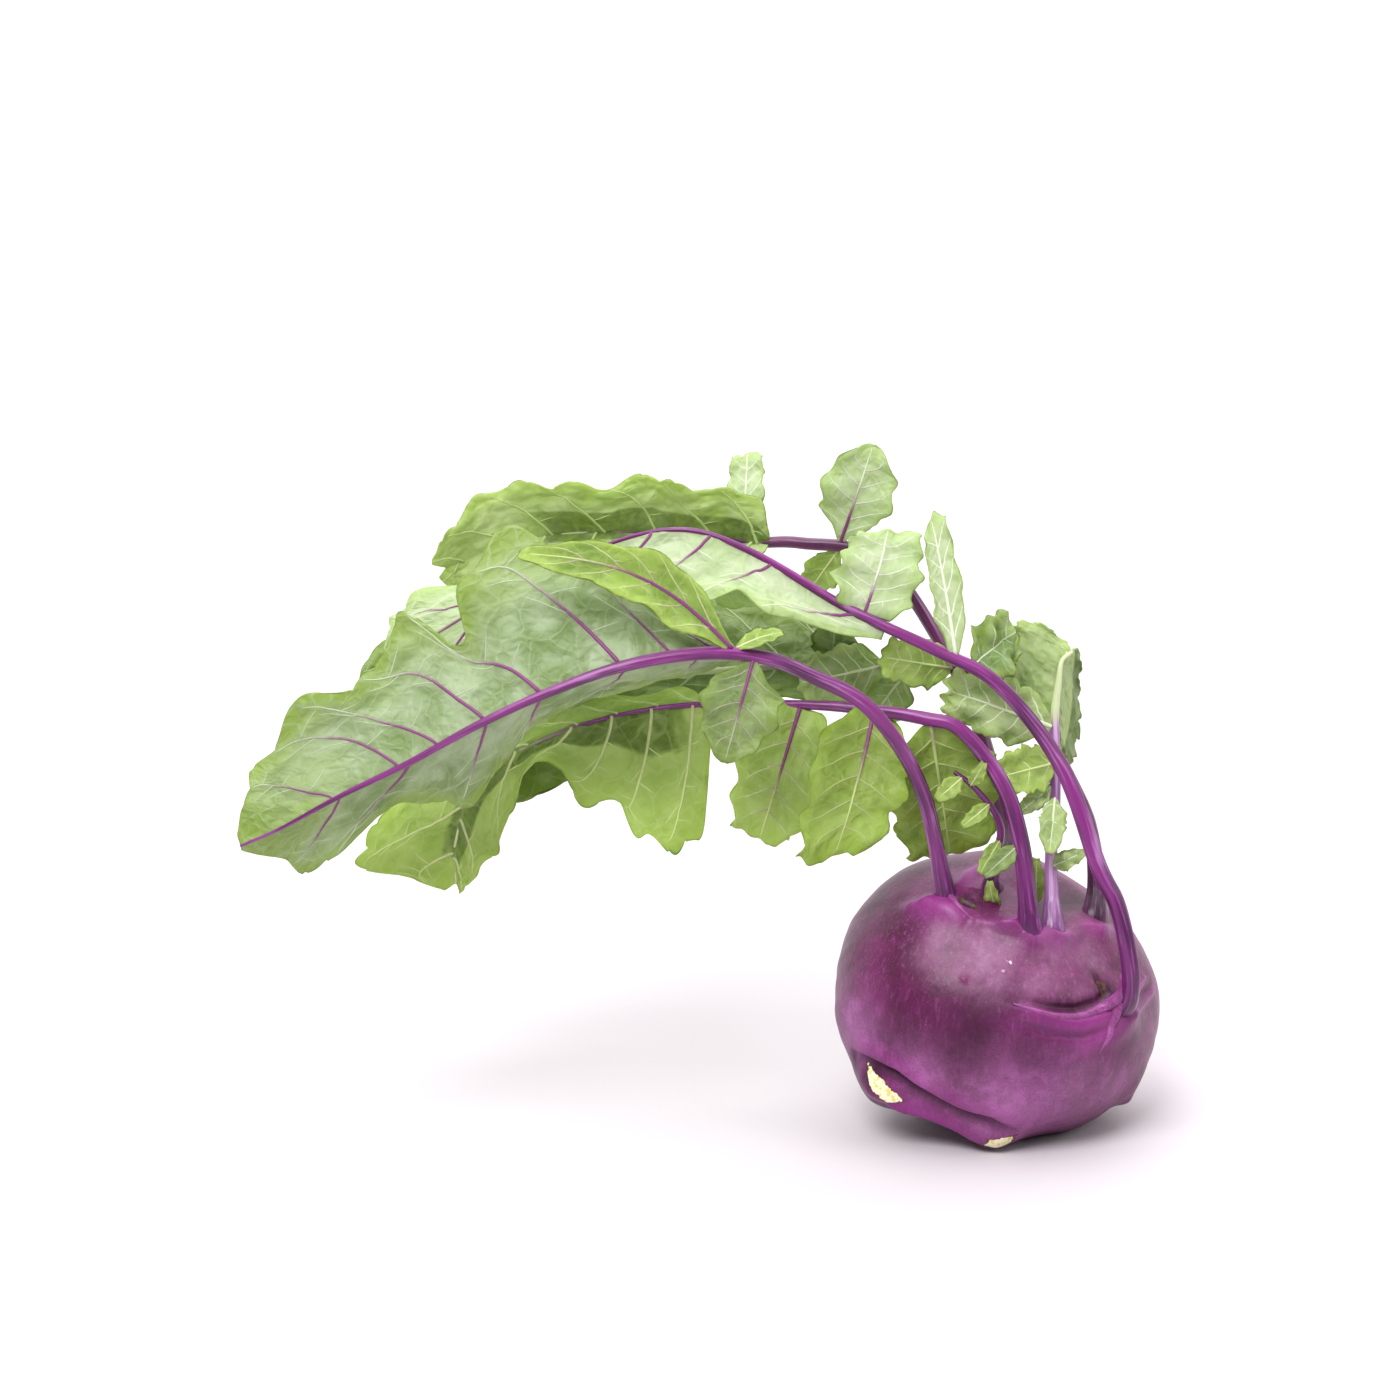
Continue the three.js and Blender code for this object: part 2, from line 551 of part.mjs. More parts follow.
for (const leaf of LEAVES) {
  const group = new THREE.Group();
  addPiece(`${leaf.name}_stalk`, clearOfBulb(stalkGeometry(leaf.route)), STALK, group);
  if (leaf.edges) {
    addPiece(`${leaf.name}_blade`, bladeGeometry(leaf), leaf.look, group);
  }
  leaf.leaflets.forEach((leaflet, index) => {
    const start = stalkSide(leaf.route, leaflet.on, leaflet.tip);
    addPiece(`${leaf.name}_leaflet_${index + 1}`, leafletGeometry(start, leaflet), leaf.look, group);
  });
  kohlrabi.add(group);
}

HEART_LEAVES.forEach((leaflet, index) => {
  const shape = leafletGeometry(vec(leaflet.base), leaflet);
  addPiece(`heart_leaf_${index + 1}`, clearOfBulb(shape), LEAF_YELLOW, kohlrabi);
});

export default kohlrabi;
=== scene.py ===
"""Kohlrabi with its leaves: the fine surfaces, finishes, floor, light and camera."""

import logging
import math
from dataclasses import dataclass, field
from enum import Enum
from typing import Callable

import bpy
import numpy as np
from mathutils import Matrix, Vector
from mathutils.kdtree import KDTree


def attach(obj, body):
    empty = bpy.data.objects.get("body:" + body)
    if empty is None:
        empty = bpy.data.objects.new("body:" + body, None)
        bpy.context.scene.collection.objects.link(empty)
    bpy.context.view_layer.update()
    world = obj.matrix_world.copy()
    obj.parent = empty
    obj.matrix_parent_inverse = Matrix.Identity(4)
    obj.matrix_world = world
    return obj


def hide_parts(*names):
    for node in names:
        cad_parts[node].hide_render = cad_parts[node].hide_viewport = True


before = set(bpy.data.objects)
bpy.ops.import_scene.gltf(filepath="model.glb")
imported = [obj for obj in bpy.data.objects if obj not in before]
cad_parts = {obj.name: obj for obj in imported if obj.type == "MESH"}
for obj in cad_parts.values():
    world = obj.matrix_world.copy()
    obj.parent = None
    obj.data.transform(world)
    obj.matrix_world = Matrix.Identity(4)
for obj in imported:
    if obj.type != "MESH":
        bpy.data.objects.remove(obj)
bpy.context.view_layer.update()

LOG = logging.getLogger("kohlrabi")
MM = 0.001                     # lengths below are in millimetres unless said otherwise
RIB_CLEARANCE = 0.7            # edge of a blade, behind the rib that carries it
CAD_BLADE_THICK = 0.8
SHEET_THICK = 0.55             # leaf between its veins
LEAFLET_STALK = 0.8            # half-width of a leaflet where it leaves its stalk
LEAFLET_NECK = 0.3             # share of a leaflet's length that widens from that
TIP_ROUNDS = 0.1               # share of its length that a blunt leaflet's corners hold back
SCALLOP = 0.06                 # depth of the lumps along a blunt end, as a share of the length
VEIN_DEPTH = 0.5               # how far a vein sinks the leaf around it
VEIN_SPREAD = 1.8              # how far to each side it does so
FLUSH_WIDTH = 3                # width of the purple flush beside a rib
RIM_ROWS = 1.5                 # rows of corners over which a sheet thins to its margin
SHADE_FADE = (8, 5)            # how sharply a band of painted shade ends across and along the leaf
BIG_TEETH = 26 / 3             # large teeth along each side of a blade
HEART_SEED = 50                # seeds of the heart leaves' unevenness count on from this

Array = np.ndarray
Point = tuple[float, float, float]
Colour = tuple[float, float, float]


class Look(Enum):
    """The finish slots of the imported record."""

    SKIN = "skin"
    STALK = "stalk"
    GREEN = "leaf_green"
    YELLOW = "leaf_yellow"
    BACK = "leaf_back"


class Tint(Enum):
    """The shades of the stalks and the leaves."""

    MAGENTA = "streaked_magenta_stalk"
    DEEP = "dark_purple_stalk"
    LILAC = "pale_lilac_stalk"
    SAGE = "grey_green_leaf"
    OLIVE = "olive_green_leaf"
    LIME = "yellow_green_leaf"
    PALE = "silver_green_leaf"
    CROWN = "soft_green_leaf"
    # painted shade: a darker green for leaves and leaflets that lie in the shade of others
    SHADED = "shaded_deep_green_leaf"
    FAR = "fresh_green_leaf"


class Face(Enum):
    """Which face looks outwards, and how far the outer and the inner side are an under face."""

    UPPER = (1.0, 0.0)
    UNDER = (0.0, 1.0)


# ---------------------------------------------------------------- numbers and curves
def unit(vectors: Array) -> Array:
    """Scales vectors to length one.

    Args:
        vectors: One vector, or an array of them in its last axis.

    Returns:
        The vectors at length one.
    """
    length = np.linalg.norm(vectors, axis=-1, keepdims=True)
    return vectors / np.maximum(length, 1e-9)


def eased(share: Array) -> Array:
    """Turns an even run from 0 to 1 into one that starts and ends gently."""
    return share * share * (3 - 2 * share)


def radius_at(route: list, place: Array) -> Array:
    """Reads the radius of a stalk at each place along its route, counted in route points."""
    return np.interp(place, range(len(route)), [row[3] for row in route])


class SmoothLine:
    """A smooth curve through points, in millimetres."""

    def __init__(self, points: list) -> None:
        """Keeps the points.

        Args:
            points: Rows that start with x, y and z.
        """
        self.points = np.array([row[:3] for row in points], float)

    def at(self, place: Array) -> Array:
        """Reads the curve.

        Args:
            place: Position counted in points, from 0 to the last one.

        Returns:
            A point for each place.
        """
        points = self.points
        last = len(points) - 1
        place = np.clip(np.asarray(place, float), 0, last)
        low = np.minimum(np.floor(place).astype(int), last - 1)
        share = (place - low)[..., None]
        before = np.where((low > 0)[..., None], points[np.maximum(low - 1, 0)], 2 * points[0] - points[1])
        ahead = np.minimum(low + 2, last)
        after = np.where((low + 2 <= last)[..., None], points[ahead], 2 * points[last] - points[last - 1])
        start = points[low]
        end = points[low + 1]
        leave = 0.5 * (end - before)
        arrive = 0.5 * (after - start)
        return (start + share * leave + share ** 2 * (3 * (end - start) - 2 * leave - arrive)
                + share ** 3 * (2 * (start - end) + leave + arrive))

    def heading(self, place: Array) -> Array:
        """Gives the direction of the curve at each place."""
        return unit(self.at(np.asarray(place) + 1e-3) - self.at(np.asarray(place) - 1e-3))


class Unevenness:
    """Smooth unevenness that is the same on every run."""

    SIZE = 64

    def __init__(self, seed: int) -> None:
        """Draws the heights.

        Args:
            seed: Number that the heights are drawn from.
        """
        self.heights = np.random.default_rng(seed).uniform(-1.0, 1.0, (self.SIZE, self.SIZE))

    def at(self, x: Array, y: Array) -> Array:
        """Reads the unevenness.

        Args:
            x: First coordinate, where 1 is the width of a bump.
            y: Second coordinate, in the same unit.

        Returns:
            Heights from -1 to 1.
        """
        column = np.floor(x).astype(int)
        row = np.floor(y).astype(int)
        right = eased(x - column)
        up = eased(y - row)
        size = self.SIZE
        here = self.heights[column % size, row % size]
        beside = self.heights[(column + 1) % size, row % size]
        above = self.heights[column % size, (row + 1) % size]
        across = self.heights[(column + 1) % size, (row + 1) % size]
        return ((here * (1 - right) + beside * right) * (1 - up)
                + (above * (1 - right) + across * right) * up)

    def nicks(self, place: Array) -> Array:
        """Cuts scallops with sharp notches between them into an outline.

        Args:
            place: Position along the outline, where 1 is the width of a scallop.

        Returns:
            Depth from 0, on a scallop's crown, to 1 in the deepest notch.
        """
        uneven = place + 0.35 * self.at(place * 0.7, place * 0)
        cell = np.floor(uneven).astype(int)
        deep = 0.12 + 0.88 * self.heights[cell % self.SIZE, 5] ** 2
        return deep * np.abs(2 * (uneven - cell) - 1) ** 2.2


# ---------------------------------------------------------------- meshes
class Draft:
    """The corners, faces and marks of one piece while it is put together."""

    MARKS = ("under", "flush", "near", "edge", "scar", "bloom", "violet", "fold", "dark", "tear",
             "scrape", "pale", "shade")

    def __init__(self) -> None:
        """Starts an empty piece."""
        self.corners: list[Array] = []
        self.grains: list[Array] = []
        self.marks: dict[str, list[Array]] = {name: [] for name in self.MARKS}
        self.faces: list[list[int]] = []
        self.finishes: list[int] = []
        self.count = 0

    def add(self, corners: Array, faces: list, grain: Array, finish: int = 0, **marks: Array) -> None:
        """Adds a patch.

        Args:
            corners: Corner points in millimetres, N rows of 3.
            faces: Corner numbers of each face, from this patch's own first corner.
            grain: Where each corner lies on the unrolled surface, in millimetres.
            finish: Number of the material that the faces take.
            **marks: Values from 0 to 1 for each corner, by mark name.
        """
        total = len(corners)
        self.corners.append(corners)
        self.grains.append(grain)
        for name, held in self.marks.items():
            held.append(np.broadcast_to(np.asarray(marks.get(name, 0.0), float), (total,)))
        self.faces.extend([[corner + self.count for corner in face] for face in faces])
        self.finishes.extend([finish] * len(faces))
        self.count += total

    def piece(self, name: str, materials: list) -> bpy.types.Object:
        """Makes the Blender object.

        Args:
            name: Name of the piece.
            materials: Its materials, in the order of the finish numbers.

        Returns:
            The object, at the origin, with its place in its mesh.
        """
        mesh = bpy.data.meshes.new(name)
        mesh.from_pydata((np.concatenate(self.corners) * MM).tolist(), [], self.faces)
        mesh.update()
        grain = mesh.attributes.new("grain", "FLOAT_VECTOR", "POINT")
        grain.data.foreach_set("vector", np.concatenate(self.grains).astype(np.float32).ravel())
        for mark, held in self.marks.items():
            values = np.concatenate(held).astype(np.float32)
            if values.any():
                mesh.attributes.new(mark, "FLOAT", "POINT").data.foreach_set("value", values)
        for material in materials:
            mesh.materials.append(material)
        mesh.polygons.foreach_set("material_index", self.finishes)
        mesh.polygons.foreach_set("use_smooth", [True] * len(self.faces))
        made = bpy.data.objects.new(name, mesh)
        bpy.context.scene.collection.objects.link(made)
        return made


def ring_faces(rings: int, sides: int) -> list[list[int]]:
    """Lists the faces of a closed tube.

    Args:
        rings: Number of rings of corners.
        sides: Corners in each ring.

    Returns:
        Four-cornered faces along the tube and a face at each end.
    """
    faces = []
    for ring in range(rings - 1):
        low = ring * sides
        for k in range(sides):
            following = (k + 1) % sides
            faces.append([low + k, low + following, low + sides + following, low + sides + k])
    faces.append(list(range(sides - 1, -1, -1)))
    faces.append([(rings - 1) * sides + k for k in range(sides)])
    return faces


def tube(draft: Draft, centres: Array, radii: Array, sides_to: Array, sides: int, finish: int,
         **marks: Array) -> None:
    """Adds a thin round strand.

    Args:
        draft: Piece that gets the strand.
        centres: Points along its middle, in millimetres.
        radii: Radius at each point.
        sides_to: A direction square to the strand at each point.
        sides: Corners around it.
        finish: Number of the material that it takes.
        **marks: Values for each point along it, by mark name.
    """
    heading = unit(np.gradient(centres, axis=0))
    side = unit(sides_to - heading * np.sum(sides_to * heading, axis=1, keepdims=True))
    other = np.cross(heading, side)
    turn = np.linspace(0, 2 * math.pi, sides, endpoint=False)
    ring = np.cos(turn)[None, :, None] * side[:, None] + np.sin(turn)[None, :, None] * other[:, None]
    corners = (centres[:, None] + radii[:, None, None] * ring).reshape(-1, 3)
    spread = {name: np.repeat(np.broadcast_to(values, len(centres)), sides)
              for name, values in marks.items()}
    draft.add(corners, ring_faces(len(centres), sides), corners, finish=finish, **spread)


# ---------------------------------------------------------------- shader writing
class Value:
    """A number that varies over a surface, written as a Python expression."""

    def __init__(self, shader: "Shader", socket: bpy.types.NodeSocket) -> None:
        """Wraps a socket.

        Args:
            shader: The shader that the socket belongs to.
            socket: The socket that gives the number.
        """
        self.shader = shader
        self.socket = socket

    def _math(self, operation: str, first: object, second: object) -> "Value":
        """Adds one Math node.

        Args:
            operation: What the node works out.
            first: Its first value.
            second: Its second value.

        Returns:
            The node's result.
        """
        made = self.shader.node("ShaderNodeMath", {"operation": operation}, {0: first, 1: second})
        return Value(self.shader, made.outputs[0])

    def __add__(self, other: object) -> "Value":
        """Adds another value."""
        return self._math("ADD", self, other)

    def __radd__(self, other: object) -> "Value":
        """Adds this to a plain number."""
        return self._math("ADD", other, self)

    def __sub__(self, other: object) -> "Value":
        """Takes another value away."""
        return self._math("SUBTRACT", self, other)

    def __rsub__(self, other: object) -> "Value":
        """Takes this away from a plain number."""
        return self._math("SUBTRACT", other, self)

    def __mul__(self, other: object) -> "Value":
        """Multiplies by another value."""
        return self._math("MULTIPLY", self, other)

    def __rmul__(self, other: object) -> "Value":
        """Multiplies a plain number by this."""
        return self._math("MULTIPLY", other, self)

    def at_most(self, other: object) -> "Value":
        """Takes the smaller of two values."""
        return self._math("MINIMUM", self, other)

    def step(self, low: float, high: float) -> "Value":
        """Goes smoothly from 0 to 1.

        Args:
            low: Where the result is 0.
            high: Where the result is 1.

        Returns:
            The result, from 0 to 1.
        """
        made = self.shader.node(
            "ShaderNodeMapRange", {"interpolation_type": "SMOOTHSTEP"},
            {"Value": self, "From Min": low, "From Max": high, "To Min": 0.0, "To Max": 1.0})
        return Value(self.shader, made.outputs[0])


class Shader:
    """One material and the nodes that are written into it."""

    def __init__(self, name: str) -> None:
        """Starts an empty material.

        Args:
            name: Name of the material.
        """
        self.material = bpy.data.materials.new(name)
        self.material.use_nodes = True
        self.tree = self.material.node_tree
        self.tree.nodes.clear()

    def node(self, kind: str, settings: dict, inputs: dict) -> bpy.types.Node:
        """Adds a node.

        Args:
            kind: Type of the node.
            settings: Its own settings, set before its sockets.
            inputs: A value, socket or Value for each input, by name or number.

        Returns:
            The node.
        """
        made = self.tree.nodes.new(kind)
        for name, setting in settings.items():
            setattr(made, name, setting)
        for key, given in inputs.items():
            socket = made.inputs[key]
            if isinstance(given, Value):
                given = given.socket
            if isinstance(given, bpy.types.NodeSocket):
                self.tree.links.new(given, socket)
            elif isinstance(given, tuple) and len(given) == 3 and socket.type == "RGBA":
                socket.default_value = (*given, 1.0)
            else:
                socket.default_value = given
        return made

    def mark(self, name: str) -> Value:
        """Reads one of the marks kept on the corners."""
        made = self.node("ShaderNodeAttribute", {"attribute_name": name}, {})
        return Value(self, made.outputs["Fac"])

    def grain(self, stretch: Point = (1.0, 1.0, 1.0)) -> bpy.types.NodeSocket:
        """Reads the unrolled surface, in millimetres.

        Args:
            stretch: Factor along each of its directions.

        Returns:
            The coordinates.
        """
        made = self.node("ShaderNodeAttribute", {"attribute_name": "grain"}, {})
        scaled = self.node("ShaderNodeVectorMath", {"operation": "MULTIPLY"},
                           {0: made.outputs["Vector"], 1: stretch})
        return scaled.outputs[0]

    def noise(self, where: bpy.types.NodeSocket, width: float, detail: float = 3.0) -> Value:
        """Reads soft noise.

        Args:
            where: Coordinates in millimetres.
            width: Width of its largest bumps, in millimetres.
            detail: How many finer layers it has.

        Returns:
            A value around 0.5.
        """
        made = self.node("ShaderNodeTexNoise", {},
                         {"Vector": where, "Scale": 1.0 / width, "Detail": detail})
        return Value(self, made.outputs["Fac"])

    def cells(self, where: bpy.types.NodeSocket, width: float, feature: str) -> Value:
        """Reads a cell pattern.

        Args:
            where: Coordinates in millimetres.
            width: Width of a cell, in millimetres.
            feature: F1, or DISTANCE_TO_EDGE for the lines between cells.

        Returns:
            Distance as a share of a cell's width.
        """
        made = self.node("ShaderNodeTexVoronoi", {"feature": feature},
                         {"Vector": where, "Scale": 1.0 / width})
        return Value(self, made.outputs["Distance"])

    def warped(self, where: bpy.types.NodeSocket, width: float, far: float) -> bpy.types.NodeSocket:
        """Bends coordinates so that straight lines waver.

        Args:
            where: Coordinates in millimetres.
            width: Width of the bends.
            far: How far they go.

        Returns:
            The bent coordinates.
        """
        made = self.node("ShaderNodeTexNoise", {}, {"Vector": where, "Scale": 1.0 / width, "Detail": 2.0})
        moved = self.node("ShaderNodeVectorMath", {"operation": "MULTIPLY_ADD"},
                          {0: made.outputs["Color"], 1: (far, far, far), 2: where})
        return moved.outputs[0]

    def mix(self, share: object, first: object, second: object) -> bpy.types.NodeSocket:
        """Mixes two colours.

        Args:
            share: How much of the second, from 0 to 1.
            first: First colour.
            second: Second colour.

        Returns:
            The mixed colour.
        """
        made = self.node("ShaderNodeMix", {"data_type": "RGBA"}, {0: share, 6: first, 7: second})
        return made.outputs[2]

    def bump(self, height: Value, depth: float, strength: float = 1.0) -> bpy.types.NodeSocket:
        """Turns a height into fine relief.

        Args:
            height: Height as a share of the depth.
            depth: Depth of the relief in millimetres.
            strength: How fully it shows.

        Returns:
            The normal.
        """
        made = self.node("ShaderNodeBump", {},
                         {"Height": height, "Distance": depth * MM, "Strength": strength})
        return made.outputs[0]

    def finish(self, **inputs: object) -> bpy.types.Node:
        """Adds the surface shader.

        Args:
            **inputs: Values for its sockets, with _ for each space in their names.

        Returns:
            The surface shader, linked to the output.
        """
        named = {name.replace("_", " "): given for name, given in inputs.items()}
        surface = self.node("ShaderNodeBsdfPrincipled", {}, named)
        self.node("ShaderNodeOutputMaterial", {}, {"Surface": surface.outputs[0]})
        return surface


def tone(red: int, green: int, blue: int) -> Colour:
    """Turns a screen colour into the linear one that shaders take.

    Args:
        red: Red from 0 to 255.
        green: Green from 0 to 255.
        blue: Blue from 0 to 255.

    Returns:
        The linear colour.
    """
    shares = [channel / 255 for channel in (red, green, blue)]
    linear = [s / 12.92 if s <= 0.04045 else ((s + 0.055) / 1.055) ** 2.4 for s in shares]
    return (linear[0], linear[1], linear[2])


# ---------------------------------------------------------------- finishes
@dataclass(frozen=True)
class SkinFinish:
    """The bulb's satin skin with its waxy bloom, painted sheen and painted shade, pores, folds and cut leaf
    scars.
    """

    plum: Colour = tone(74, 10, 52)
    magenta: Colour = tone(118, 32, 94)
    # violet: real violet patches, lightened where it stands for a painted reflection of the floor on the
    # lower skin
    violet: Colour = tone(168, 88, 160)
    ledge: Colour = tone(150, 46, 136)
    # wax: pale colour of the real bloom, also used for painted sheen and highlights
    wax: Colour = tone(200, 154, 190)
    pore: Colour = tone(196, 140, 184)
    # deep: darkest plum, used for painted shade and for torn skin
    deep: Colour = tone(46, 6, 34)
    bark: Colour = tone(84, 50, 34)
    pale: Colour = tone(226, 206, 222)
    cut: Colour = tone(246, 240, 206)
    cut_yellow: Colour = tone(226, 208, 120)

    def material(self) -> bpy.types.Material:
        """Writes the skin's material.

        Returns:
            The material.
        """
        shader = Shader("satin_purple_skin")
        where = shader.grain()
        broad = shader.noise(where, width=13, detail=5).step(0.36, 0.66)
        mottle = shader.noise(where, width=4.5, detail=4).step(0.44, 0.7)
        fine = shader.noise(where, width=1.4, detail=4)
        grain = shader.noise(where, width=0.55, detail=2)
        streak = shader.noise(shader.grain((1.0, 1.0, 0.14)), width=1.1, detail=3)
        dusty = shader.noise(where, width=1.7, detail=6)
        cloud = shader.noise(where, width=7, detail=5)
        colour = shader.mix((0.6 * broad + 0.3 * mottle).at_most(1.0), self.plum, self.magenta)
        # violet mark: real violet patches and, low on the bulb, a painted reflection of the floor
        colour = shader.mix(shader.mark("violet") * (0.6 + 0.4 * mottle), colour, self.violet)
        # dark: painted shade in creases, hollows, under the bulb and on its dim middle band, with some
        # darker plum tone
        dark = (shader.mark("dark") * (0.75 + 0.5 * fine)).at_most(1.0)
        colour = shader.mix(streak.step(0.52, 0.72) * 0.25, colour, self.violet)
        colour = shader.mix((1.0 - grain.step(0.32, 0.46)) * 0.4, colour, self.plum)
        colour = shader.mix(grain.step(0.56, 0.74) * (0.1 * (1.0 - dark)), colour, self.wax)
        # pale_cover: real waxy bloom, plus painted sheen where the bloom spots stand for a highlight or a
        # reflection
        pale_cover = shader.mark("bloom") * (0.5 + 0.35 * cloud.step(0.36, 0.66) + 0.2 * dusty.step(0.4, 0.7))
        pale_cover = ((pale_cover + 0.08 * dusty.step(0.5, 0.7) * cloud.step(0.45, 0.65)) * (1.0 - dark)).at_most(1.0)
        colour = shader.mix(pale_cover * 0.42, colour, self.wax)
        pores = 1.0 - shader.cells(where, width=2.1, feature="F1").step(0.04, 0.10)
        pores = pores * shader.noise(where, width=6, detail=1).step(0.5, 0.62)
        colour = shader.mix(pores * 0.45, colour, self.pore)
        fold = shader.mark("fold")
        colour = shader.mix((fold * (0.9 + 0.6 * fine)).at_most(1.0), colour, self.ledge)
        colour = shader.mix(dark, colour, self.deep)
        tear = (shader.mark("tear") * (0.5 + fine)).step(0.45, 0.75)
        colour = shader.mix(tear, colour, shader.mix(fine.step(0.4, 0.6), self.deep, self.bark))
        scar = shader.mark("scar")
        ragged = scar + 0.8 * (fine - 0.5) + 0.5 * (mottle - 0.5) * (1.0 - scar)
        yellowed = shader.noise(where, width=1.1, detail=3).step(0.45, 0.65)
        face = shader.mix(yellowed, self.cut, self.cut_yellow)
        colour = shader.mix(ragged.step(0.40, 0.46), colour, self.bark)
        colour = shader.mix(ragged.step(0.5, 0.58), colour, face)
        scrape = (shader.mark("scrape") * (0.1 + 1.6 * fine) * (0.5 + streak)).step(0.6, 0.8)
        colour = shader.mix(scrape * 0.8, colour, self.pale)
        height = 0.4 * fine + 0.5 * shader.noise(where, width=3.6, detail=3) + 0.2 * pores + 0.25 * streak
        height = height + 0.12 * grain + 0.8 * scar * fine
        rough = 0.38 + 0.14 * pale_cover + 0.12 * (fine - 0.5) + 0.25 * scar
        shader.finish(Base_Color=colour, Roughness=rough, Specular_IOR_Level=0.32,
                      Normal=shader.bump(height, depth=0.2, strength=0.7))
        return shader.material


@dataclass(frozen=True)
class StalkFinish:
    """A leaf stalk: long streaks of purple under a lilac bloom."""

    tint: Tint
    deep: Colour = tone(72, 18, 70)
    middle: Colour = tone(124, 36, 116)
    bright: Colour = tone(160, 66, 154)
    wax: Colour = tone(196, 168, 206)
    faded: Colour = tone(196, 208, 160)
    waxed: float = 0.35

    def material(self) -> bpy.types.Material:
        """Writes the stalk's material.

        Returns:
            The material.
        """
        shader = Shader(self.tint.value)
        long_way = shader.grain((1.0, 1.0, 0.05))
        streak = shader.noise(long_way, width=0.9, detail=5)
        broad = shader.noise(shader.grain((0.7, 0.7, 0.08)), width=3.2, detail=3)
        colour = shader.mix(broad.step(0.36, 0.62), self.deep, self.middle)
        colour = shader.mix(streak.step(0.48, 0.7) * 0.7, colour, self.bright)
        patches = shader.noise(shader.grain((1, 1, 0.3)), width=6, detail=3).step(0.44, 0.68)
        pale_cover = streak.step(0.45, 0.72) * patches
        colour = shader.mix(pale_cover * self.waxed, colour, self.wax)
        colour = shader.mix(shader.mark("dark") * 0.8, colour, self.deep)
        pale = (shader.mark("pale") + 0.3 * (streak - 0.5)).step(0.2, 0.9)
        colour = shader.mix(pale, colour, self.faded)
        shader.finish(Base_Color=colour, Roughness=0.32 + 0.2 * pale_cover, Specular_IOR_Level=0.5,
                      Normal=shader.bump(streak, depth=0.25, strength=0.8))
        return shader.material


@dataclass(frozen=True)
class LeafFinish:
    """A leaf between its veins: a waxy upper face, a paler under face, a fine net of veins and bands of
    painted shade.
    """

    tint: Tint
    upper: Colour
    upper_light: Colour
    under: Colour
    under_light: Colour
    margin: Colour
    net: Colour
    spot: Colour = tone(96, 128, 52)
    # shade: colour of the painted shade bands
    shade: Colour = tone(62, 80, 34)
    glow: Colour = tone(150, 190, 70)
    passes: float = 0.2

    def material(self) -> bpy.types.Material:
        """Writes the leaf's material.

        Returns:
            The material.
        """
        shader = Shader(self.tint.value)
        where = shader.grain()
        bent = shader.warped(where, width=9, far=5.0)
        broad = shader.noise(where, width=22, detail=3)
        blotch = shader.noise(bent, width=7, detail=4)
        speck = shader.noise(where, width=1.8, detail=4)
        under = shader.mark("under")
        wide_edge = shader.cells(bent, width=9.5, feature="DISTANCE_TO_EDGE")
        small_edge = shader.cells(bent, width=3.1, feature="DISTANCE_TO_EDGE")
        quilt = wide_edge.step(0.0, 0.4) + 0.3 * small_edge.step(0.0, 0.35)
        share = (0.72 * broad + 0.2 * blotch + 0.08 * quilt).step(0.38, 0.6)
        colour = shader.mix(under, shader.mix(share, self.upper, self.upper_light),
                            shader.mix(share, self.under, self.under_light))
        edge = (shader.mark("edge") + 1.1 * (broad - 0.5) + 0.5 * (blotch - 0.5)).step(0.08, 0.8)
        colour = shader.mix(edge * 0.85, colour, self.margin)
        # painted shade: dark olive bands where a leaf lies in another's shadow or inside a fold
        shaded = (shader.mark("shade") * 1.3 + 0.8 * (blotch - 0.5)).step(0.3, 0.8)
        band = shader.mix(speck.step(0.4, 0.6) * 0.4, self.shade, self.spot)
        colour = shader.mix(shaded * 0.85, colour, band)
        stain = blotch.step(0.55, 0.72) * (0.3 + speck).at_most(1.0)
        colour = shader.mix(stain * 0.45, colour, self.spot)
        wide_net = 1.0 - wide_edge.step(0.0, 0.04)
        small_net = 1.0 - small_edge.step(0.0, 0.08)
        lines = (0.8 * wide_net + 0.3 * small_net + 0.55 * shader.mark("near")).at_most(1.0)
        colour = shader.mix(lines * 0.3, colour, self.net)
        relief = quilt * (1.0 - 2.0 * under) + 0.8 * blotch + 0.3 * speck
        surface = shader.node("ShaderNodeBsdfPrincipled", {}, {
            "Base Color": colour, "Roughness": 0.48 + 0.2 * (blotch - 0.5),
            "Normal": shader.bump(relief, depth=0.55, strength=0.9), "Specular IOR Level": 0.35})
        through = shader.node("ShaderNodeBsdfTranslucent", {}, {"Color": self.glow})
        both = shader.node("ShaderNodeMixShader", {}, {
            0: self.passes, 1: surface.outputs[0], 2: through.outputs[0]})
        shader.node("ShaderNodeOutputMaterial", {}, {"Surface": both.outputs[0]})
        return shader.material


@dataclass(frozen=True)
class VeinFinish:
    """A raised vein, purple where it leaves its rib and pale green further out."""

    name: str
    pale: Colour
    faint: Colour
    purple: Colour = tone(126, 56, 112)

    def material(self) -> bpy.types.Material:
        """Writes the vein's material.

        Returns:
            The material.
        """
        shader = Shader(self.name)
        streak = shader.noise(shader.grain(), width=1.5, detail=3)
        flush = (shader.mark("flush") + 0.3 * (streak - 0.5)).step(0.0, 0.8)
        colour = shader.mix(flush, shader.mix(shader.mark("under"), self.pale, self.faint), self.purple)
        shader.finish(Base_Color=colour, Roughness=0.42 + 0.1 * streak,
                      Normal=shader.bump(streak, depth=0.1, strength=0.5))
        return shader.material


# ---------------------------------------------------------------- the bulb
@dataclass(frozen=True)
class Swelling:
    """A rounded rise of the skin, or a hollow where high is below 0."""

    at: Point
    high: float
    wide: float


@dataclass(frozen=True)
class Fold:
    """A raised or sunken line in the skin."""

    path: tuple[Point, ...]
    high: float
    wide: float
    violet: float = 0.0
    # dark: painted shade along a crease
    dark: float = 0.0
    above: float = 1.0


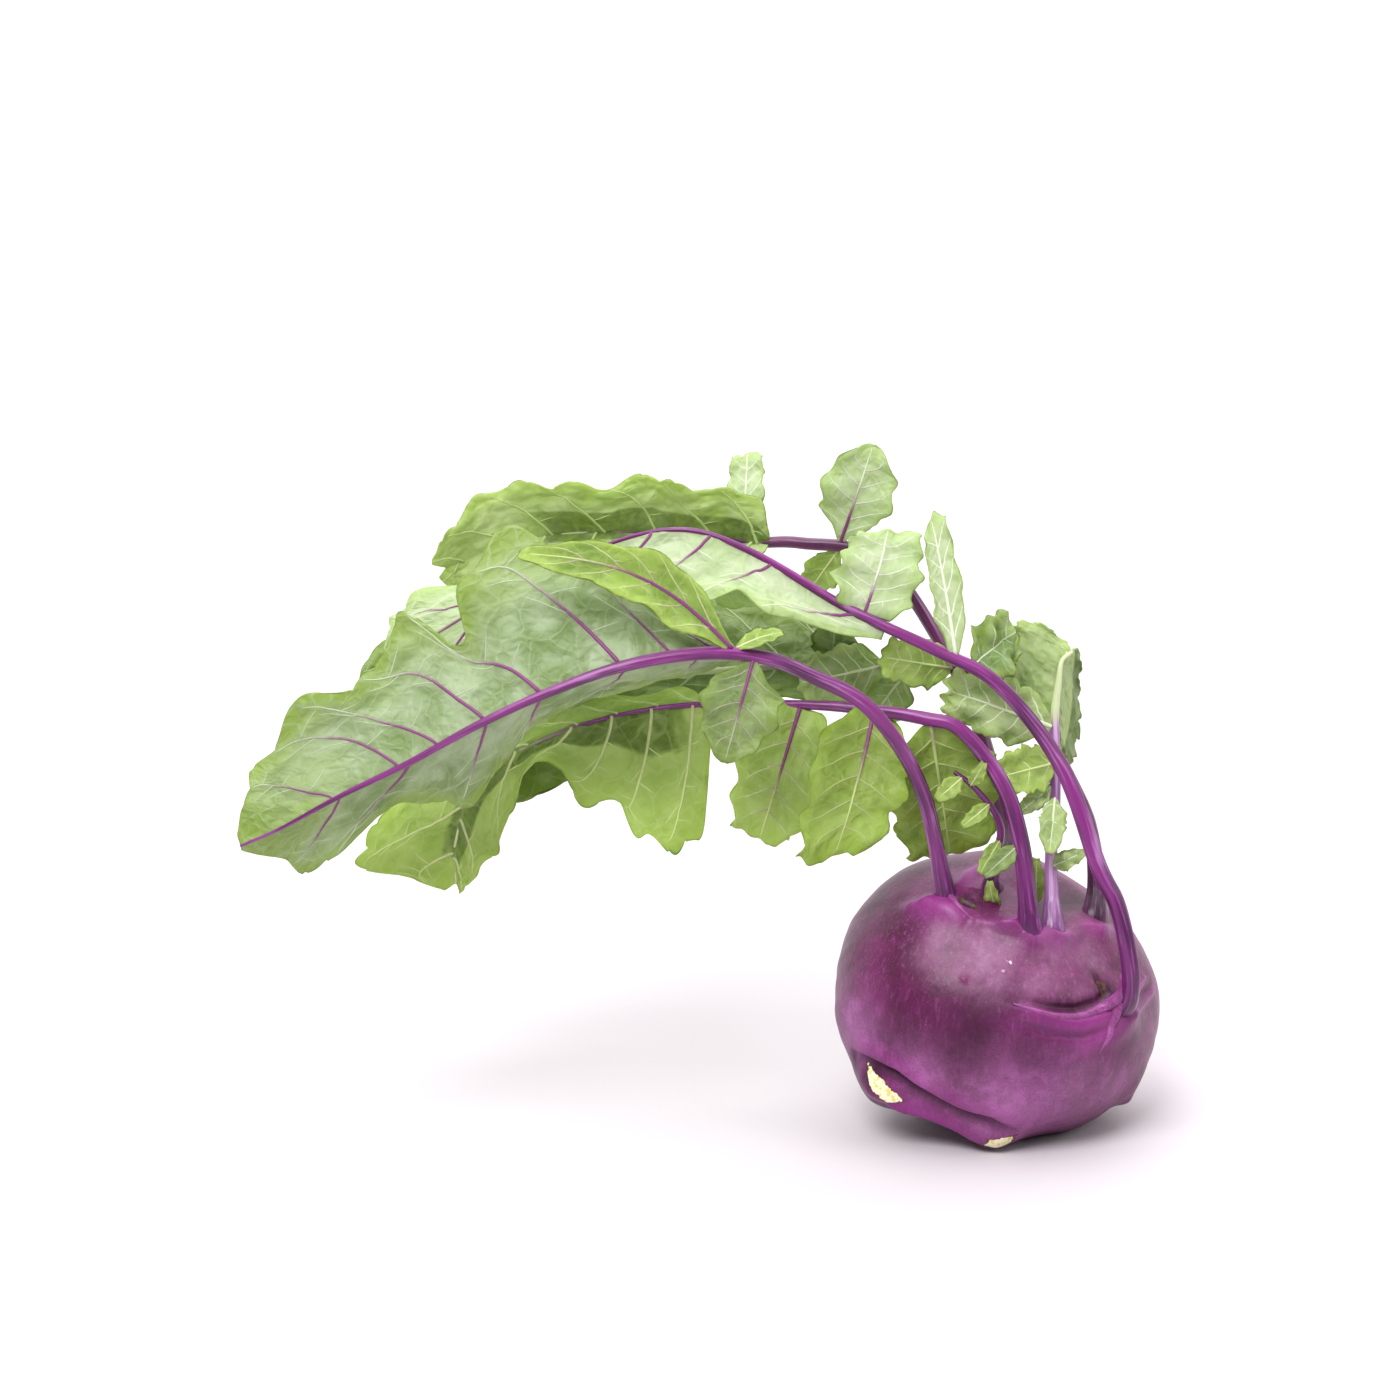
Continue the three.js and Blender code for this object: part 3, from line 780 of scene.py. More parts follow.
@dataclass(frozen=True)
class Wing:
    """A raised edge that runs from a stalk's foot into the skin."""

    path: tuple[Point, ...]
    thick: tuple[float, float]
    sunk: float = 0.1


@dataclass(frozen=True)
class Spot:
    """A patch of colour on the skin."""

    mark: str
    at: Point
    wide: float
    strong: float = 1.0


@dataclass(frozen=True)
class Scar:
    """The pale oval face left where a leaf stalk was cut away."""

    at: Point
    along: Point
    half_long: float
    half_wide: float


def distance_to_path(points: Array, path: Array, up: Array) -> tuple[Array, Array, Array]:
    """Measures how far points are from a path.

    Args:
        points: Points, N rows of 3.
        path: Corners of the path, M rows of 3.
        up: The upward direction.

    Returns:
        The distance of each point, how far along the path it is nearest, from 0 to 1, and whether it is
        above.
    """
    best = np.full(len(points), np.inf)
    place = np.zeros(len(points))
    above = np.zeros(len(points), bool)
    for k in range(len(path) - 1):
        step = path[k + 1] - path[k]
        share = np.clip((points - path[k]) @ step / (step @ step), 0, 1)
        gap = points - path[k] - share[:, None] * step
        far = np.linalg.norm(gap, axis=1)
        closer = far < best
        best = np.where(closer, far, best)
        place = np.where(closer, (k + share) / (len(path) - 1), place)
        above = np.where(closer, gap @ up > 0, above)
    return best, place, above


@dataclass
class Bulb:
    """The swollen stem, a flattened ball whose own axis leans to the right and the front."""

    radius: float = 45.0
    half_height: float = 36.0
    centre_height: float = 35.0
    lean: Point = (0.365, -0.26, 0.895)
    crown_dip: float = 3.0
    rings: int = 224
    slices: int = 410
    swellings: tuple[Swelling, ...] = (
        Swelling((-15, -19, 66), 2.6, 9), Swelling((8, -27, 60), 2.2, 8),
        Swelling((32, -27, 38), 3.2, 9), Swelling((25, -13, 59), 2.4, 7),
        Swelling((4, 18, 64), 2.5, 8), Swelling((-31, -21, 15), 6, 11),
        Swelling((-1, -34, 4), 5, 8), Swelling((-13, 9, 3), 6, 10),
        Swelling((36, -12, 12), 1.6, 6), Swelling((-43, -4, 22), 3, 18),
        Swelling((43, 0, 38), 1.8, 22), Swelling((-16, -20, 2), -2, 9),
        Swelling((-7.2, -15.1, 69.2), 0.7, 1.1), Swelling((-10.6, -37.6, 51.2), 0.6, 0.9),
        Swelling((11.4, -31.3, 55), 0.6, 0.9), Swelling((36, -9, 7), 3, 3),
    )
    folds: tuple[Fold, ...] = (
        Fold(((-40.5, -20.4, 27.3), (-36.3, -27, 26.9), (-28.4, -33.7, 25.6), (-21.1, -36.5, 20.8),
              (-11.6, -38.5, 16), (-2.4, -39.7, 13.8), (10.8, -35.3, 10.2)), 1.2, 2.6, 0.35),
        Fold(((-40, -21.6, 25.1), (-36.3, -27.5, 24.8), (-32.5, -31, 24), (-28.3, -33.3, 22.6),
              (-21.1, -35.6, 18.2), (-11.8, -37.4, 13.1), (-2.8, -38.8, 11.2), (3.4, -36.9, 8.3)),
             -3.2, 2.0, 0, 1.0, 0.5),
        Fold(((-37, -25, 19), (-30, -30, 16), (-25.5, -30, 13), (-17.5, -31, 10), (-9, -32, 6.5),
              (-2, -34, 5)), 3.0, 2.6, 0.6),
        Fold(((-30, -24, 9), (-20, -27, 5), (-10, -29, 2)), -1.5, 3.0, 0, 0.7),
        Fold(((33, -29, 41), (30, -32, 39.6), (26, -35.5, 39), (20, -38.8, 39.2), (13, -41.3, 41),
              (5, -42.1, 44)), 2.4, 4.2, 0.55, 0, 0.3),
        Fold(((31, -31, 44.6), (27, -34, 43.4), (21, -37.5, 42.8), (14, -40.5, 44), (7, -41.5, 46)),
             -1.3, 1.2, 0, 0.8),
        Fold(((30, -34, 36.4), (22, -39, 35), (12, -42, 37), (2, -42.5, 41)), -0.9, 1.4, 0, 0.45, 0.6),
        Fold(((36, -27, 40), (35, -30, 36), (31, -34, 33.6), (24, -38.5, 33), (14, -42, 35)),
             1.6, 3.4, 0.4, 0, 0.7),
        Fold(((36, -27, 38), (40, -19, 39.5), (43, -8, 41)), -0.8, 1.0, 0, 0.6),
        Fold(((34, -30, 36.8), (38.7, -22.5, 38.3), (43.4, -8.4, 38.7)), 1.3, 1.2, 0.6),
        Fold(((-24, -17.5, 66.3), (-19, -20, 66), (-14, -23, 65.5), (-9, -26.5, 64.4)), 1.6, 3.2, 0.5),
        Fold(((-27, -16, 65.5), (-22, -19, 65.8), (-18, -19, 68)), 1.0, 1.6, 0.5),
        Fold(((-7.5, -27, 64.8), (-0.1, -28.1, 63.9), (5.4, -30.2, 62.1)), 1.2, 1.6, 0.35),
        Fold(((-2, -28.5, 63), (2.5, -27.8, 64), (6, -27, 66)), 1.6, 1.8, 0.5),
        Fold(((10.5, -27.5, 64), (13, -27.2, 61.6), (17, -25.4, 59.3), (21, -21.4, 59)), 1.6, 1.8, 0.5),
        Fold(((-12, -16, 69), (-8, -7, 72), (-3, -1, 73)), 1.0, 2.2, 0.7),
        Fold(((1, -26, 63), (8, -29, 60), (16, -26, 58), (21, -20, 59)), 1.4, 2.6, 0.4),
        Fold(((21, -17, 60), (26, -15, 57), (30, -9, 57)), 1.0, 2.0, 0.4),
        Fold(((-12.4, -20.6, 67.8), (-9.8, -21.8, 67.2), (-7, -22.6, 66.6)), -1.0, 0.9, 0, 1.0),
        Fold(((27.4, -29, 51), (28.6, -29.8, 46), (28.8, -30.8, 42.5)), -1.2, 1.3, 0, 1.0),
    )
    wings: tuple[Wing, ...] = (
        Wing(((34.4, -34.4, 51), (33.4, -34.2, 46.5), (31, -34.4, 43), (27, -36, 40.9), (21, -38.7, 40.3),
              (14, -41.1, 41.5), (8, -42.1, 43.6), (2.6, -41.8, 45.4)), (2.3, 0.3)),
        Wing(((35.4, -34, 50), (36, -31.6, 44.6), (38, -26, 41.4), (40.4, -17, 42), (42.1, -10.3, 43.4)),
             (1.9, 0.5), 0.6),
        Wing(((35, -34, 49), (34.8, -34.6, 44.5), (34, -36, 40), (32.6, -37.6, 36), (31, -38.8, 32),
              (29.6, -39.4, 28.5)), (2.5, 0.3), 0.4),
        Wing(((-15.4, -18.5, 72), (-14.2, -20.4, 69), (-11.6, -24, 66.4), (-8, -27, 64.6)), (1.5, 0.2)),
    )
    # bloom spots: real bloom plus painted light: the upper front ones are a painted highlight of the key
    # light, the crown ones a painted reflection of the sky, the lowest a painted reflection of the floor
    spots: tuple[Spot, ...] = (
        Spot("bloom", (16, -27, 57), 9, 0.75), Spot("bloom", (24, -25, 54), 7, 0.7),
        Spot("bloom", (-33, -12, 60), 9, 0.3), Spot("bloom", (24, -30, 47), 8, 0.5),
        Spot("bloom", (-20, -38, 24), 8, 0.45), Spot("bloom", (0, -42, 15), 14, 0.6),
        Spot("bloom", (20, -38, 15), 13, 0.5), Spot("bloom", (-38, -20, 31), 8, 0.4),
        Spot("bloom", (-4, -36, 56), 10, 1.0), Spot("bloom", (9, -36, 51), 8, 0.7),
        Spot("bloom", (-17, -31, 57), 8, 0.6), Spot("bloom", (15, -10, 68), 12, 0.6),
        Spot("bloom", (5, 15, 68), 14, 0.4),
        Spot("bloom", (20, 35, 40), 18, 0.3), Spot("bloom", (-30, 30, 40), 16, 0.3),
        # violet spots: real violet patches; those low on the bulb are also a painted reflection of the
        # white floor
        Spot("violet", (-38, -22, 31), 11, 0.95), Spot("violet", (-22, -37, 24), 10, 0.8),
        Spot("violet", (5, -41, 16), 19, 1.0), Spot("violet", (32, -30, 16), 12, 0.5),
        Spot("violet", (-2, -39, 14), 8, 0.5), Spot("violet", (14, -37, 10), 9, 0.5),
        Spot("violet", (-17, -22, 66), 7, 0.35), Spot("violet", (24, -37, 34), 6, 0.4),
        Spot("violet", (40, 5, 30), 14, 0.4), Spot("violet", (-14, -9, 71), 7, 0.5),
        Spot("violet", (-22, -30, 12), 8, 0.7), Spot("violet", (-8, -32, 6), 6, 0.6),
        Spot("tear", (-10.5, -20.5, 67.6), 1.7, 1.0), Spot("tear", (-7.6, -21.5, 67), 1.4, 1.0),
        Spot("tear", (27.6, -28.6, 46.5), 1.9, 1.0), Spot("tear", (27, -29.8, 44), 1.7, 1.0),
        # dark spots: mostly painted shade in hollows, under overhangs, under the bulb and on the skin's dim
        # middle band
        Spot("dark", (28.5, -28.2, 45), 3.2, 0.8), Spot("dark", (-9.5, -21, 67.4), 2.6, 0.6),
        Spot("scrape", (1.5, -34, 55), 1.6, 1.0), Spot("scrape", (0.3, -35.6, 52.6), 1.3, 0.9),
        Spot("bloom", (31, -33, 37), 4, 0.7), Spot("dark", (-34, -27, 21.5), 4.5, 0.9),
        Spot("dark", (-24, -22, 6), 9, 0.6), Spot("dark", (8, -20, 1), 16, 0.5),
        Spot("dark", (12, -14, 67), 5, 0.7), Spot("dark", (20, -6, 65), 7, 0.7),
        Spot("dark", (-8, -42, 38), 12, 0.75), Spot("dark", (-26, -34, 41), 12, 0.4),
        Spot("dark", (8, -44, 33), 10, 0.6), Spot("dark", (-38, -19, 22), 5, 0.8),
        Spot("dark", (34, -29, 31), 9, 0.4), Spot("dark", (-38, -12, 52), 12, 0.25),
    )
    scars: tuple[Scar, ...] = (
        Scar((-32.4, -29.7, 17.6), (0.9, -0.35, -0.5), 7.2, 1.6),
        Scar((-0.6, -35.2, 3.8), (0.97, -0.1, 0.22), 4.6, 2.4),
        Scar((-14, 12, -1), (0.8, 0.6, 0.0), 8.0, 6.0),
    )
    unevenness: Unevenness = field(default_factory=lambda: Unevenness(11))

    @property
    def axis(self) -> Array:
        """Gives the direction of the bulb's own axis."""
        return unit(np.array(self.lean))

    @property
    def centre(self) -> Array:
        """Gives the bulb's centre."""
        return np.array((0, 0, self.centre_height))

    def height_above(self, points: Array) -> Array:
        """Tells how far points are outside the bulb's plain rounded shape.

        Args:
            points: Points in millimetres.

        Returns:
            The distance, below 0 inside.
        """
        away = points - self.centre
        swell = self.share_out(away)
        return (swell - 1) * np.linalg.norm(away, axis=-1) / np.maximum(swell, 1e-6)

    def share_out(self, away: Array) -> Array:
        """Tells how far out points are, as a share of the plain rounded shape.

        Args:
            away: Points as seen from the bulb's centre, in millimetres.

        Returns:
            The share, which is 1 on the plain shape.
        """
        along = away @ self.axis
        across = np.linalg.norm(away - along[..., None] * self.axis, axis=-1)
        return np.hypot(across / self.radius, along / self.half_height)

    def plain(self, points: Array) -> Array:
        """Moves points straight towards the bulb's centre, or away, onto the plain rounded shape.

        Args:
            points: Points in millimetres.

        Returns:
            The moved points.
        """
        away = np.array(points, float) - self.centre
        return self.centre + away / self.share_out(away)[..., None]

    def fold_share(self, points: Array, fold: Fold, spread: float, end: float) -> Array:
        """Tells how much of a fold is at each point of the plain rounded shape.

        Args:
            points: Points of the plain shape.
            fold: The fold.
            spread: Widens the fold.
            end: How soon it fades at its two ends.

        Returns:
            Values from 0 to 1.
        """
        far, place, above = distance_to_path(points, self.plain(fold.path), self.axis)
        wide = fold.wide * spread * np.where(above, fold.above, 1.0)
        return np.exp(-(far / wide) ** 2) * np.sin(math.pi * np.clip(place, 0.02, 0.98)) ** end

    def skin(self, direction: Array) -> tuple[Array, Array, Array]:
        """Finds the skin in each direction from the bulb's centre.

        Args:
            direction: Directions of length one, N rows of 3.

        Returns:
            The points of the skin, the way out at each of them, and the same points of the plain shape.
        """
        axis = self.axis
        along = direction @ axis
        across = direction - along[:, None] * axis
        points = self.centre + across * self.radius + along[:, None] * axis * self.half_height
        outward = unit(across / self.radius + along[:, None] * axis / self.half_height)
        lift = -self.crown_dip * np.exp(-(1 - along) / 0.035)
        for swelling in self.swellings:
            far = np.linalg.norm(points - np.array(swelling.at), axis=1)
            lift += swelling.high * np.exp(-(far / swelling.wide) ** 2)
        for fold in self.folds:
            lift += fold.high * self.fold_share(points, fold, spread=1.0, end=0.4)
        lift += 0.35 * self.unevenness.at(points[:, 0] / 12 + 20, points[:, 2] / 12 + points[:, 1] / 17)
        lift += 0.12 * self.unevenness.at(points[:, 0] / 4 + 9, points[:, 2] / 4 + points[:, 1] / 5)
        return points + outward * lift[:, None], outward, points

    def marks(self, points: Array, outward: Array, plain: Array) -> dict[str, Array]:
        """Works out where each colour of the skin goes.

        Args:
            points: Points of the skin.
            outward: The way out at each of them.
            plain: The same points of the plain rounded shape.

        Returns:
            Values from 0 to 1 by mark name.
        """
        names = ("bloom", "violet", "tear", "dark", "fold", "scar", "scrape")
        made = {name: np.zeros(len(points)) for name in names}
        for spot in self.spots:
            far = np.linalg.norm(plain - self.plain(spot.at), axis=1)
            made[spot.mark] = np.maximum(made[spot.mark], spot.strong * np.exp(-(far / spot.wide) ** 2))
        for fold in self.folds:
            share = self.fold_share(plain, fold, spread=1.2, end=0.5)
            made["fold"] = np.maximum(made["fold"], fold.violet * share)
            made["dark"] = np.maximum(made["dark"], fold.dark * share)
        for scar in self.scars:
            away = points - np.array(scar.at)
            long_way = unit(np.array(scar.along))
            wide_way = unit(np.cross(outward, long_way))
            sideways = np.sum(away * wide_way, axis=1)
            reach = np.hypot(away @ long_way / scar.half_long, sideways / scar.half_wide)
            near = np.abs(np.sum(away * outward, axis=1)) < 7
            made["scar"] = np.maximum(made["scar"], np.where(near, np.clip(1.5 - reach, 0, 1), 0))
        return made

    def build(self) -> bpy.types.Object:
        """Makes the bulb.

        Returns:
            Its piece.
        """
        axis = self.axis
        first = unit(np.cross(axis, (0.0, 1.0, 0.0)))
        second = np.cross(axis, first)
        lower = np.linspace(0, math.pi, self.rings + 1)[1:-1]
        turn = np.linspace(0, 2 * math.pi, self.slices, endpoint=False)
        ring = np.cos(turn)[:, None] * first + np.sin(turn)[:, None] * second
        sides = np.sin(lower)[:, None, None] * ring[None] + np.cos(lower)[:, None, None] * axis
        direction = np.concatenate([sides.reshape(-1, 3), axis[None], -axis[None]])
        points, outward, plain = self.skin(direction)
        marks = self.marks(points, outward, plain)
        points[:, 2] = np.maximum(points[:, 2], 0)
        faces = []
        total = len(lower)
        for row in range(total - 1):
            low = row * self.slices
            for k in range(self.slices):
                following = (k + 1) % self.slices
                below = low + self.slices
                faces.append([low + k, below + k, below + following, low + following])
        top = total * self.slices
        last = (total - 1) * self.slices
        for k in range(self.slices):
            following = (k + 1) % self.slices
            faces.append([top, k, following])
            faces.append([top + 1, last + following, last + k])
        draft = Draft()
        draft.add(points, faces, points, **marks)
        for wing in self.wings:
            self.add_wing(draft, wing)
        return draft.piece("bulb_skin", [SkinFinish().material()])

    def add_wing(self, draft: Draft, wing: Wing) -> None:
        """Adds a raised edge, sunk halfway in the skin.

        Args:
            draft: The bulb's piece.
            wing: The raised edge.
        """
        run = np.linspace(0, 1, 36)
        centres = SmoothLine(wing.path).at(run * (len(wing.path) - 1))
        radii = wing.thick[0] + (wing.thick[1] - wing.thick[0]) * run
        away = centres - self.centre
        along = (away @ self.axis)[:, None] * self.axis
        feet, outward, _ = self.skin(unit((away - along) / self.radius + along / self.half_height))
        free = (1 - eased(np.clip((run - 0.15) / 0.3, 0, 1)))[:, None]
        laid = feet - outward * (wing.sunk * radii)[:, None]
        tube(draft, free * centres + (1 - free) * laid, radii, outward, sides=14, finish=0, violet=0.7)


# ---------------------------------------------------------------- stalks and leaves
@dataclass(frozen=True)
class Vein:
    """A vein on one side of a rib, read as shares of the leaf's length and half-width."""

    start: float
    end: float
    side: int = 1
    reach: float = 0.93
    thick: float = 0.55
    flush: float = 1.0
    bend: float = 1.25


@dataclass(frozen=True)
class Edge:
    """Where a blade's two margins are, beside one place on its rib."""

    place: float
    upper: Point
    lower: Point


@dataclass(frozen=True)
class Shade:
    """A band of painted shade, dark olive, on one side of a rib, in shares of the leaf's half-width and
    length.
    """

    side: int
    near: float
    far: float
    first: float = 0.0
    last: float = 1.0


@dataclass(frozen=True)
class SheetWork:
    """How finely a leaf is made and how it is veined."""

    rows: int
    columns: int
    veins: tuple[Vein, ...]
    twigs: int
    midvein: float
    purple: float
    under: tuple[float, float]
    seed: int
    shades: tuple[Shade, ...] = ()


def sheet(draft: Draft, surface: Callable[[Array, Array], Array], work: SheetWork) -> None:
    """Adds a thin leaf with its veins to a piece.

    Args:
        draft: Piece that gets the leaf.
        surface: Gives the middle of the leaf for shares of its length and width.
        work: How finely it is made and how it is veined.
    """
    steps = (np.linspace(0, 1, work.rows + 1), np.linspace(0, 1, work.columns + 1))
    shares = np.meshgrid(*steps, indexing="ij")
    middle = surface(*shares)
    normal = unit(np.cross(np.gradient(middle, axis=0), np.gradient(middle, axis=1)))
    lines = vein_lines(work)
    near = nearness(middle, [surface(line[0], line[1]) for line in lines])
    middle = middle - normal * (VEIN_DEPTH * near)[..., None]
    rows, columns = middle.shape[:2]
    row = np.arange(rows)[:, None]
    column = np.arange(columns)[None, :]
    rim = np.minimum(np.minimum(row, rows - 1 - row), np.minimum(column, columns - 1 - column))
    half = SHEET_THICK / 2 * np.clip(rim / RIM_ROWS, 0, 1) ** 0.6
    along = np.linalg.norm(np.diff(middle, axis=0), axis=2)
    along = np.concatenate([np.zeros((1, columns)), np.cumsum(along, axis=0)])
    across = np.linalg.norm(np.diff(middle, axis=1), axis=2)
    across = np.concatenate([np.zeros((rows, 1)), np.cumsum(across, axis=1)], axis=1)
    half_way = columns // 2
    length = along[:, half_way][:, None] * np.ones((1, columns))
    sideways = across - across[:, half_way][:, None]
    grain = np.stack([length, sideways, length * 0], axis=2)
    margin = np.maximum(np.abs(2 * shares[1] - 1) ** 2.5, 0.9 * shares[0] ** 5)
    flush = np.clip(1 - np.abs(sideways) / FLUSH_WIDTH, 0, 1) * (1 - shares[0]) ** 0.5
    number = row * columns + column
    inner = (rim > 0).astype(int)
    below = np.where(inner, rows * columns + np.cumsum(inner.ravel()).reshape(rows, columns) - 1, number)
    faces = []
    for net, turned in ((number, False), (below, True)):
        corners = np.stack([net[:-1, :-1], net[1:, :-1], net[1:, 1:], net[:-1, 1:]], axis=2).reshape(-1, 4)
        faces.extend((corners[:, ::-1] if turned else corners).tolist())
    top = (middle + normal * half[..., None]).reshape(-1, 3)
    bottom = (middle - normal * half[..., None])[rim > 0]
    picked = rim.ravel() > 0
    shade = band_share(shares, work.shades)
    marks = {"under": np.repeat(work.under, (len(top), len(bottom)))}
    for name, values in (("near", near), ("edge", margin), ("flush", flush), ("shade", shade)):
        flat = values.ravel()
        marks[name] = np.concatenate([flat, flat[picked]])
    flat_grain = grain.reshape(-1, 3)
    grains = np.concatenate([flat_grain, flat_grain[picked]])
    draft.add(np.concatenate([top, bottom]), faces, grains, **marks)
    for line in lines:
        add_vein(draft, surface, line)


def band_share(shares: list[Array], bands: tuple[Shade, ...]) -> Array:
    """Tells how much of a leaf's bands of painted shade is at each of its points.

    Args:
        shares: Shares of the leaf's length and of its width.
        bands: The bands.

    Returns:
        Values from 0 to 1.
    """
    made = np.zeros(shares[0].shape)
    for band in bands:
        reach = band.side * (2 * shares[1] - 1)
        across = np.minimum(reach - band.near, band.far - reach) * SHADE_FADE[0]
        along = np.minimum(shares[0] - band.first, band.last - shares[0]) * SHADE_FADE[1]
        made = np.maximum(made, np.clip(np.minimum(across, along) + 0.5, 0, 1))
    return made


def vein_lines(work: SheetWork) -> list[tuple[Array, Array, Array, Array, Array]]:
    """Lays out the veins of a leaf.

    Args:
        work: How the leaf is veined.

    Returns:
        For each vein, its shares of the leaf's length and width, its radii, its flush of purple and how
        faint it is.
    """
    lines = []
    sway = Unevenness(work.seed)
    if work.midvein > 0:
        run = np.linspace(0.01, 0.96, 40)
        thick = work.midvein * (1 - run) ** 0.8 + 0.1
        lines.append((run, run * 0 + 0.5, thick, 1.8 * (work.purple - run), 0.3 * run))
    for index, vein in enumerate(work.veins):
        run = np.linspace(0, 1, 22)
        length = vein.start + (vein.end - vein.start) * run ** vein.bend
        length = length + 0.006 * sway.at(run * 5, run * 0 + index) * run
        width = 0.5 + 0.5 * vein.side * vein.reach * run
        thick = vein.thick * (0.85 * (1 - run) ** 0.7 + 0.15) + 0.05
        lines.append((length, width, thick, vein.flush * (1.2 - 1.25 * run), 0.2 + 0.6 * run))
        for k in range(work.twigs):
            start = 0.22 + 0.66 * (k + 0.5) / work.twigs
            start = start + 0.04 * sway.at(np.array(k * 1.7), np.array(index * 2.3))
            reaches, spread = (0.22, 0.055) if k % 2 else (0.10, -0.045)
            twig = np.linspace(0, 1, 9)
            base = vein.start + (vein.end - vein.start) * start ** vein.bend
            reach = vein.reach * start + reaches * twig * (1 - 0.4 * start)
            width = 0.5 + 0.5 * vein.side * np.minimum(reach, 0.97)
            bends = 1 + 0.3 * sway.at(np.array(k + 0.5), np.array(index + 0.5))
            length = base + spread * twig ** 0.85 * bends
            length = length + 0.006 * sway.at(np.array(start * 5), np.array(float(index))) * start
            thick = 0.3 * vein.thick * (1 - start) ** 0.5 * (1 - twig) ** 0.5 + 0.09
            flush = 0.35 * vein.flush * (1 - start) * (1 - twig)
            lines.append((np.clip(length, 0.01, 0.99), width, thick, flush, 0.6 + 0.3 * twig))
    return lines


def nearness(points: Array, lines: list[Array]) -> Array:
    """Tells how near each point of a leaf is to a vein.

    Args:
        points: Points of the leaf, rows by columns by 3.
        lines: Points along each vein.

    Returns:
        1 on a vein, falling to 0 a few millimetres away.
    """
    samples = np.concatenate(lines) if lines else np.zeros((0, 3))
    if not len(samples):
        return np.zeros(points.shape[:2])
    tree = KDTree(len(samples))
    for index, sample in enumerate(samples):
        tree.insert(sample, index)
    tree.balance()
    far = np.array([tree.find(point)[2] for point in points.reshape(-1, 3)])
    return np.exp(-(far / VEIN_SPREAD) ** 2).reshape(points.shape[:2])


def add_vein(draft: Draft, surface: Callable[[Array, Array], Array], line: tuple) -> None:
    """Adds one raised vein, sunk halfway in the under face.

    Args:
        draft: Piece that gets the vein.
        surface: Gives the middle of the leaf.
        line: Shares of length and width, radii, flush and faintness along the vein.
    """
    length, width, radii, flush, faint = line
    small = 2e-3
    centre = surface(length, width)
    forwards = surface(np.minimum(length + small, 1), width) - surface(np.maximum(length - small, 0), width)
    sideways = surface(length, np.minimum(width + small, 1)) - surface(length, np.maximum(width - small, 0))
    normal = unit(np.cross(forwards, sideways))
    centre = centre - normal * (VEIN_DEPTH + 0.3 * SHEET_THICK + 0.1 * radii)[:, None]
    tube(draft, centre, radii, normal, sides=6, finish=1, flush=np.clip(flush, 0, 1), under=faint)


@dataclass
class Stalk:
    """A leaf's stalk and rib: a tapered stem with a shallow channel and a base that spreads."""

    route: list[tuple[float, float, float, float]]
    tint: Tint = Tint.MAGENTA
    fades: tuple[float, float] = (98.0, 99.0)
    flare: float = 1.2
    sides: int = 26
    FLARE_LENGTH = 3.0         # over which the flare fades out above the skin
    GROOVE_TURN = 0.9          # where the channel is, in radians round the stalk
    GROOVE_WIDTH = 0.3
    GROOVE_DEPTH = 0.16        # as a share of the radius
    GROOVE_LENGTH = 50         # over which its painted shade fades out above the skin

    def side_point(self, place: float, towards: Point, depth: float = 0.45) -> Array:
        """Finds a point in the side of the stalk.

        Args:
            place: Position counted in route points.
            towards: Point that this side looks to.
            depth: Distance from the middle as a share of the radius.

        Returns:
            The point.
        """
        line = SmoothLine(self.route)
        centre = line.at(np.array(place))
        along = line.heading(np.array(place))
        outward = np.array(towards, float) - centre
        outward = unit(outward - along * (outward @ along))
        return centre + outward * radius_at(self.route, place) * depth

    def build(self, name: str, bulb: Bulb, finishes: list) -> bpy.types.Object:
        """Makes the stalk.

        Args:
            name: Name of its piece.
            bulb: The bulb that it grows from.
            finishes: Its material.

        Returns:
            The piece.
        """
        line = SmoothLine(self.route)
        places = np.linspace(0, len(self.route) - 1, (len(self.route) - 1) * 14 + 1)
        centres = line.at(places)
        headings = line.heading(places)
        above = np.maximum(bulb.height_above(centres), 0)
        radii = radius_at(self.route, places) + self.flare * np.exp(-above / self.FLARE_LENGTH)
        side = np.array((0.0, 1.0, 0.0))
        turn = np.linspace(0, 2 * math.pi, self.sides, endpoint=False)
        ridges = 1 + 0.025 * np.cos(5 * turn + 0.8) + 0.012 * np.cos(11 * turn)
        from_groove = np.angle(np.exp(1j * (turn - self.GROOVE_TURN)))
        groove = np.exp(-(from_groove / self.GROOVE_WIDTH) ** 2)
        channel = ridges - self.GROOVE_DEPTH * groove
        length = np.concatenate([[0], np.cumsum(np.linalg.norm(np.diff(centres, axis=0), axis=1))])
        rows = []
        grains = []
        for centre, heading, radius, far in zip(centres, headings, radii, length):
            side = unit(side - heading * (side @ heading))
            other = np.cross(heading, side)
            round_way = np.cos(turn)[:, None] * side + np.sin(turn)[:, None] * other
            rows.append(centre + round_way * (radius * channel)[:, None])
            grains.append(np.stack([radius * np.cos(turn), radius * np.sin(turn), turn * 0 + far], axis=1))
        # dark darkens the channel, most near the skin: painted shade in the recess
        dark = 0.75 * groove[None, :] * np.exp(-above[:, None] / self.GROOVE_LENGTH)
        pale = np.interp(places, self.fades, (0, 1))
        draft = Draft()
        draft.add(np.concatenate(rows), ring_faces(len(rows), self.sides), np.concatenate(grains),
                  dark=dark.ravel(), pale=np.repeat(pale, self.sides))
        return draft.piece(name, finishes)


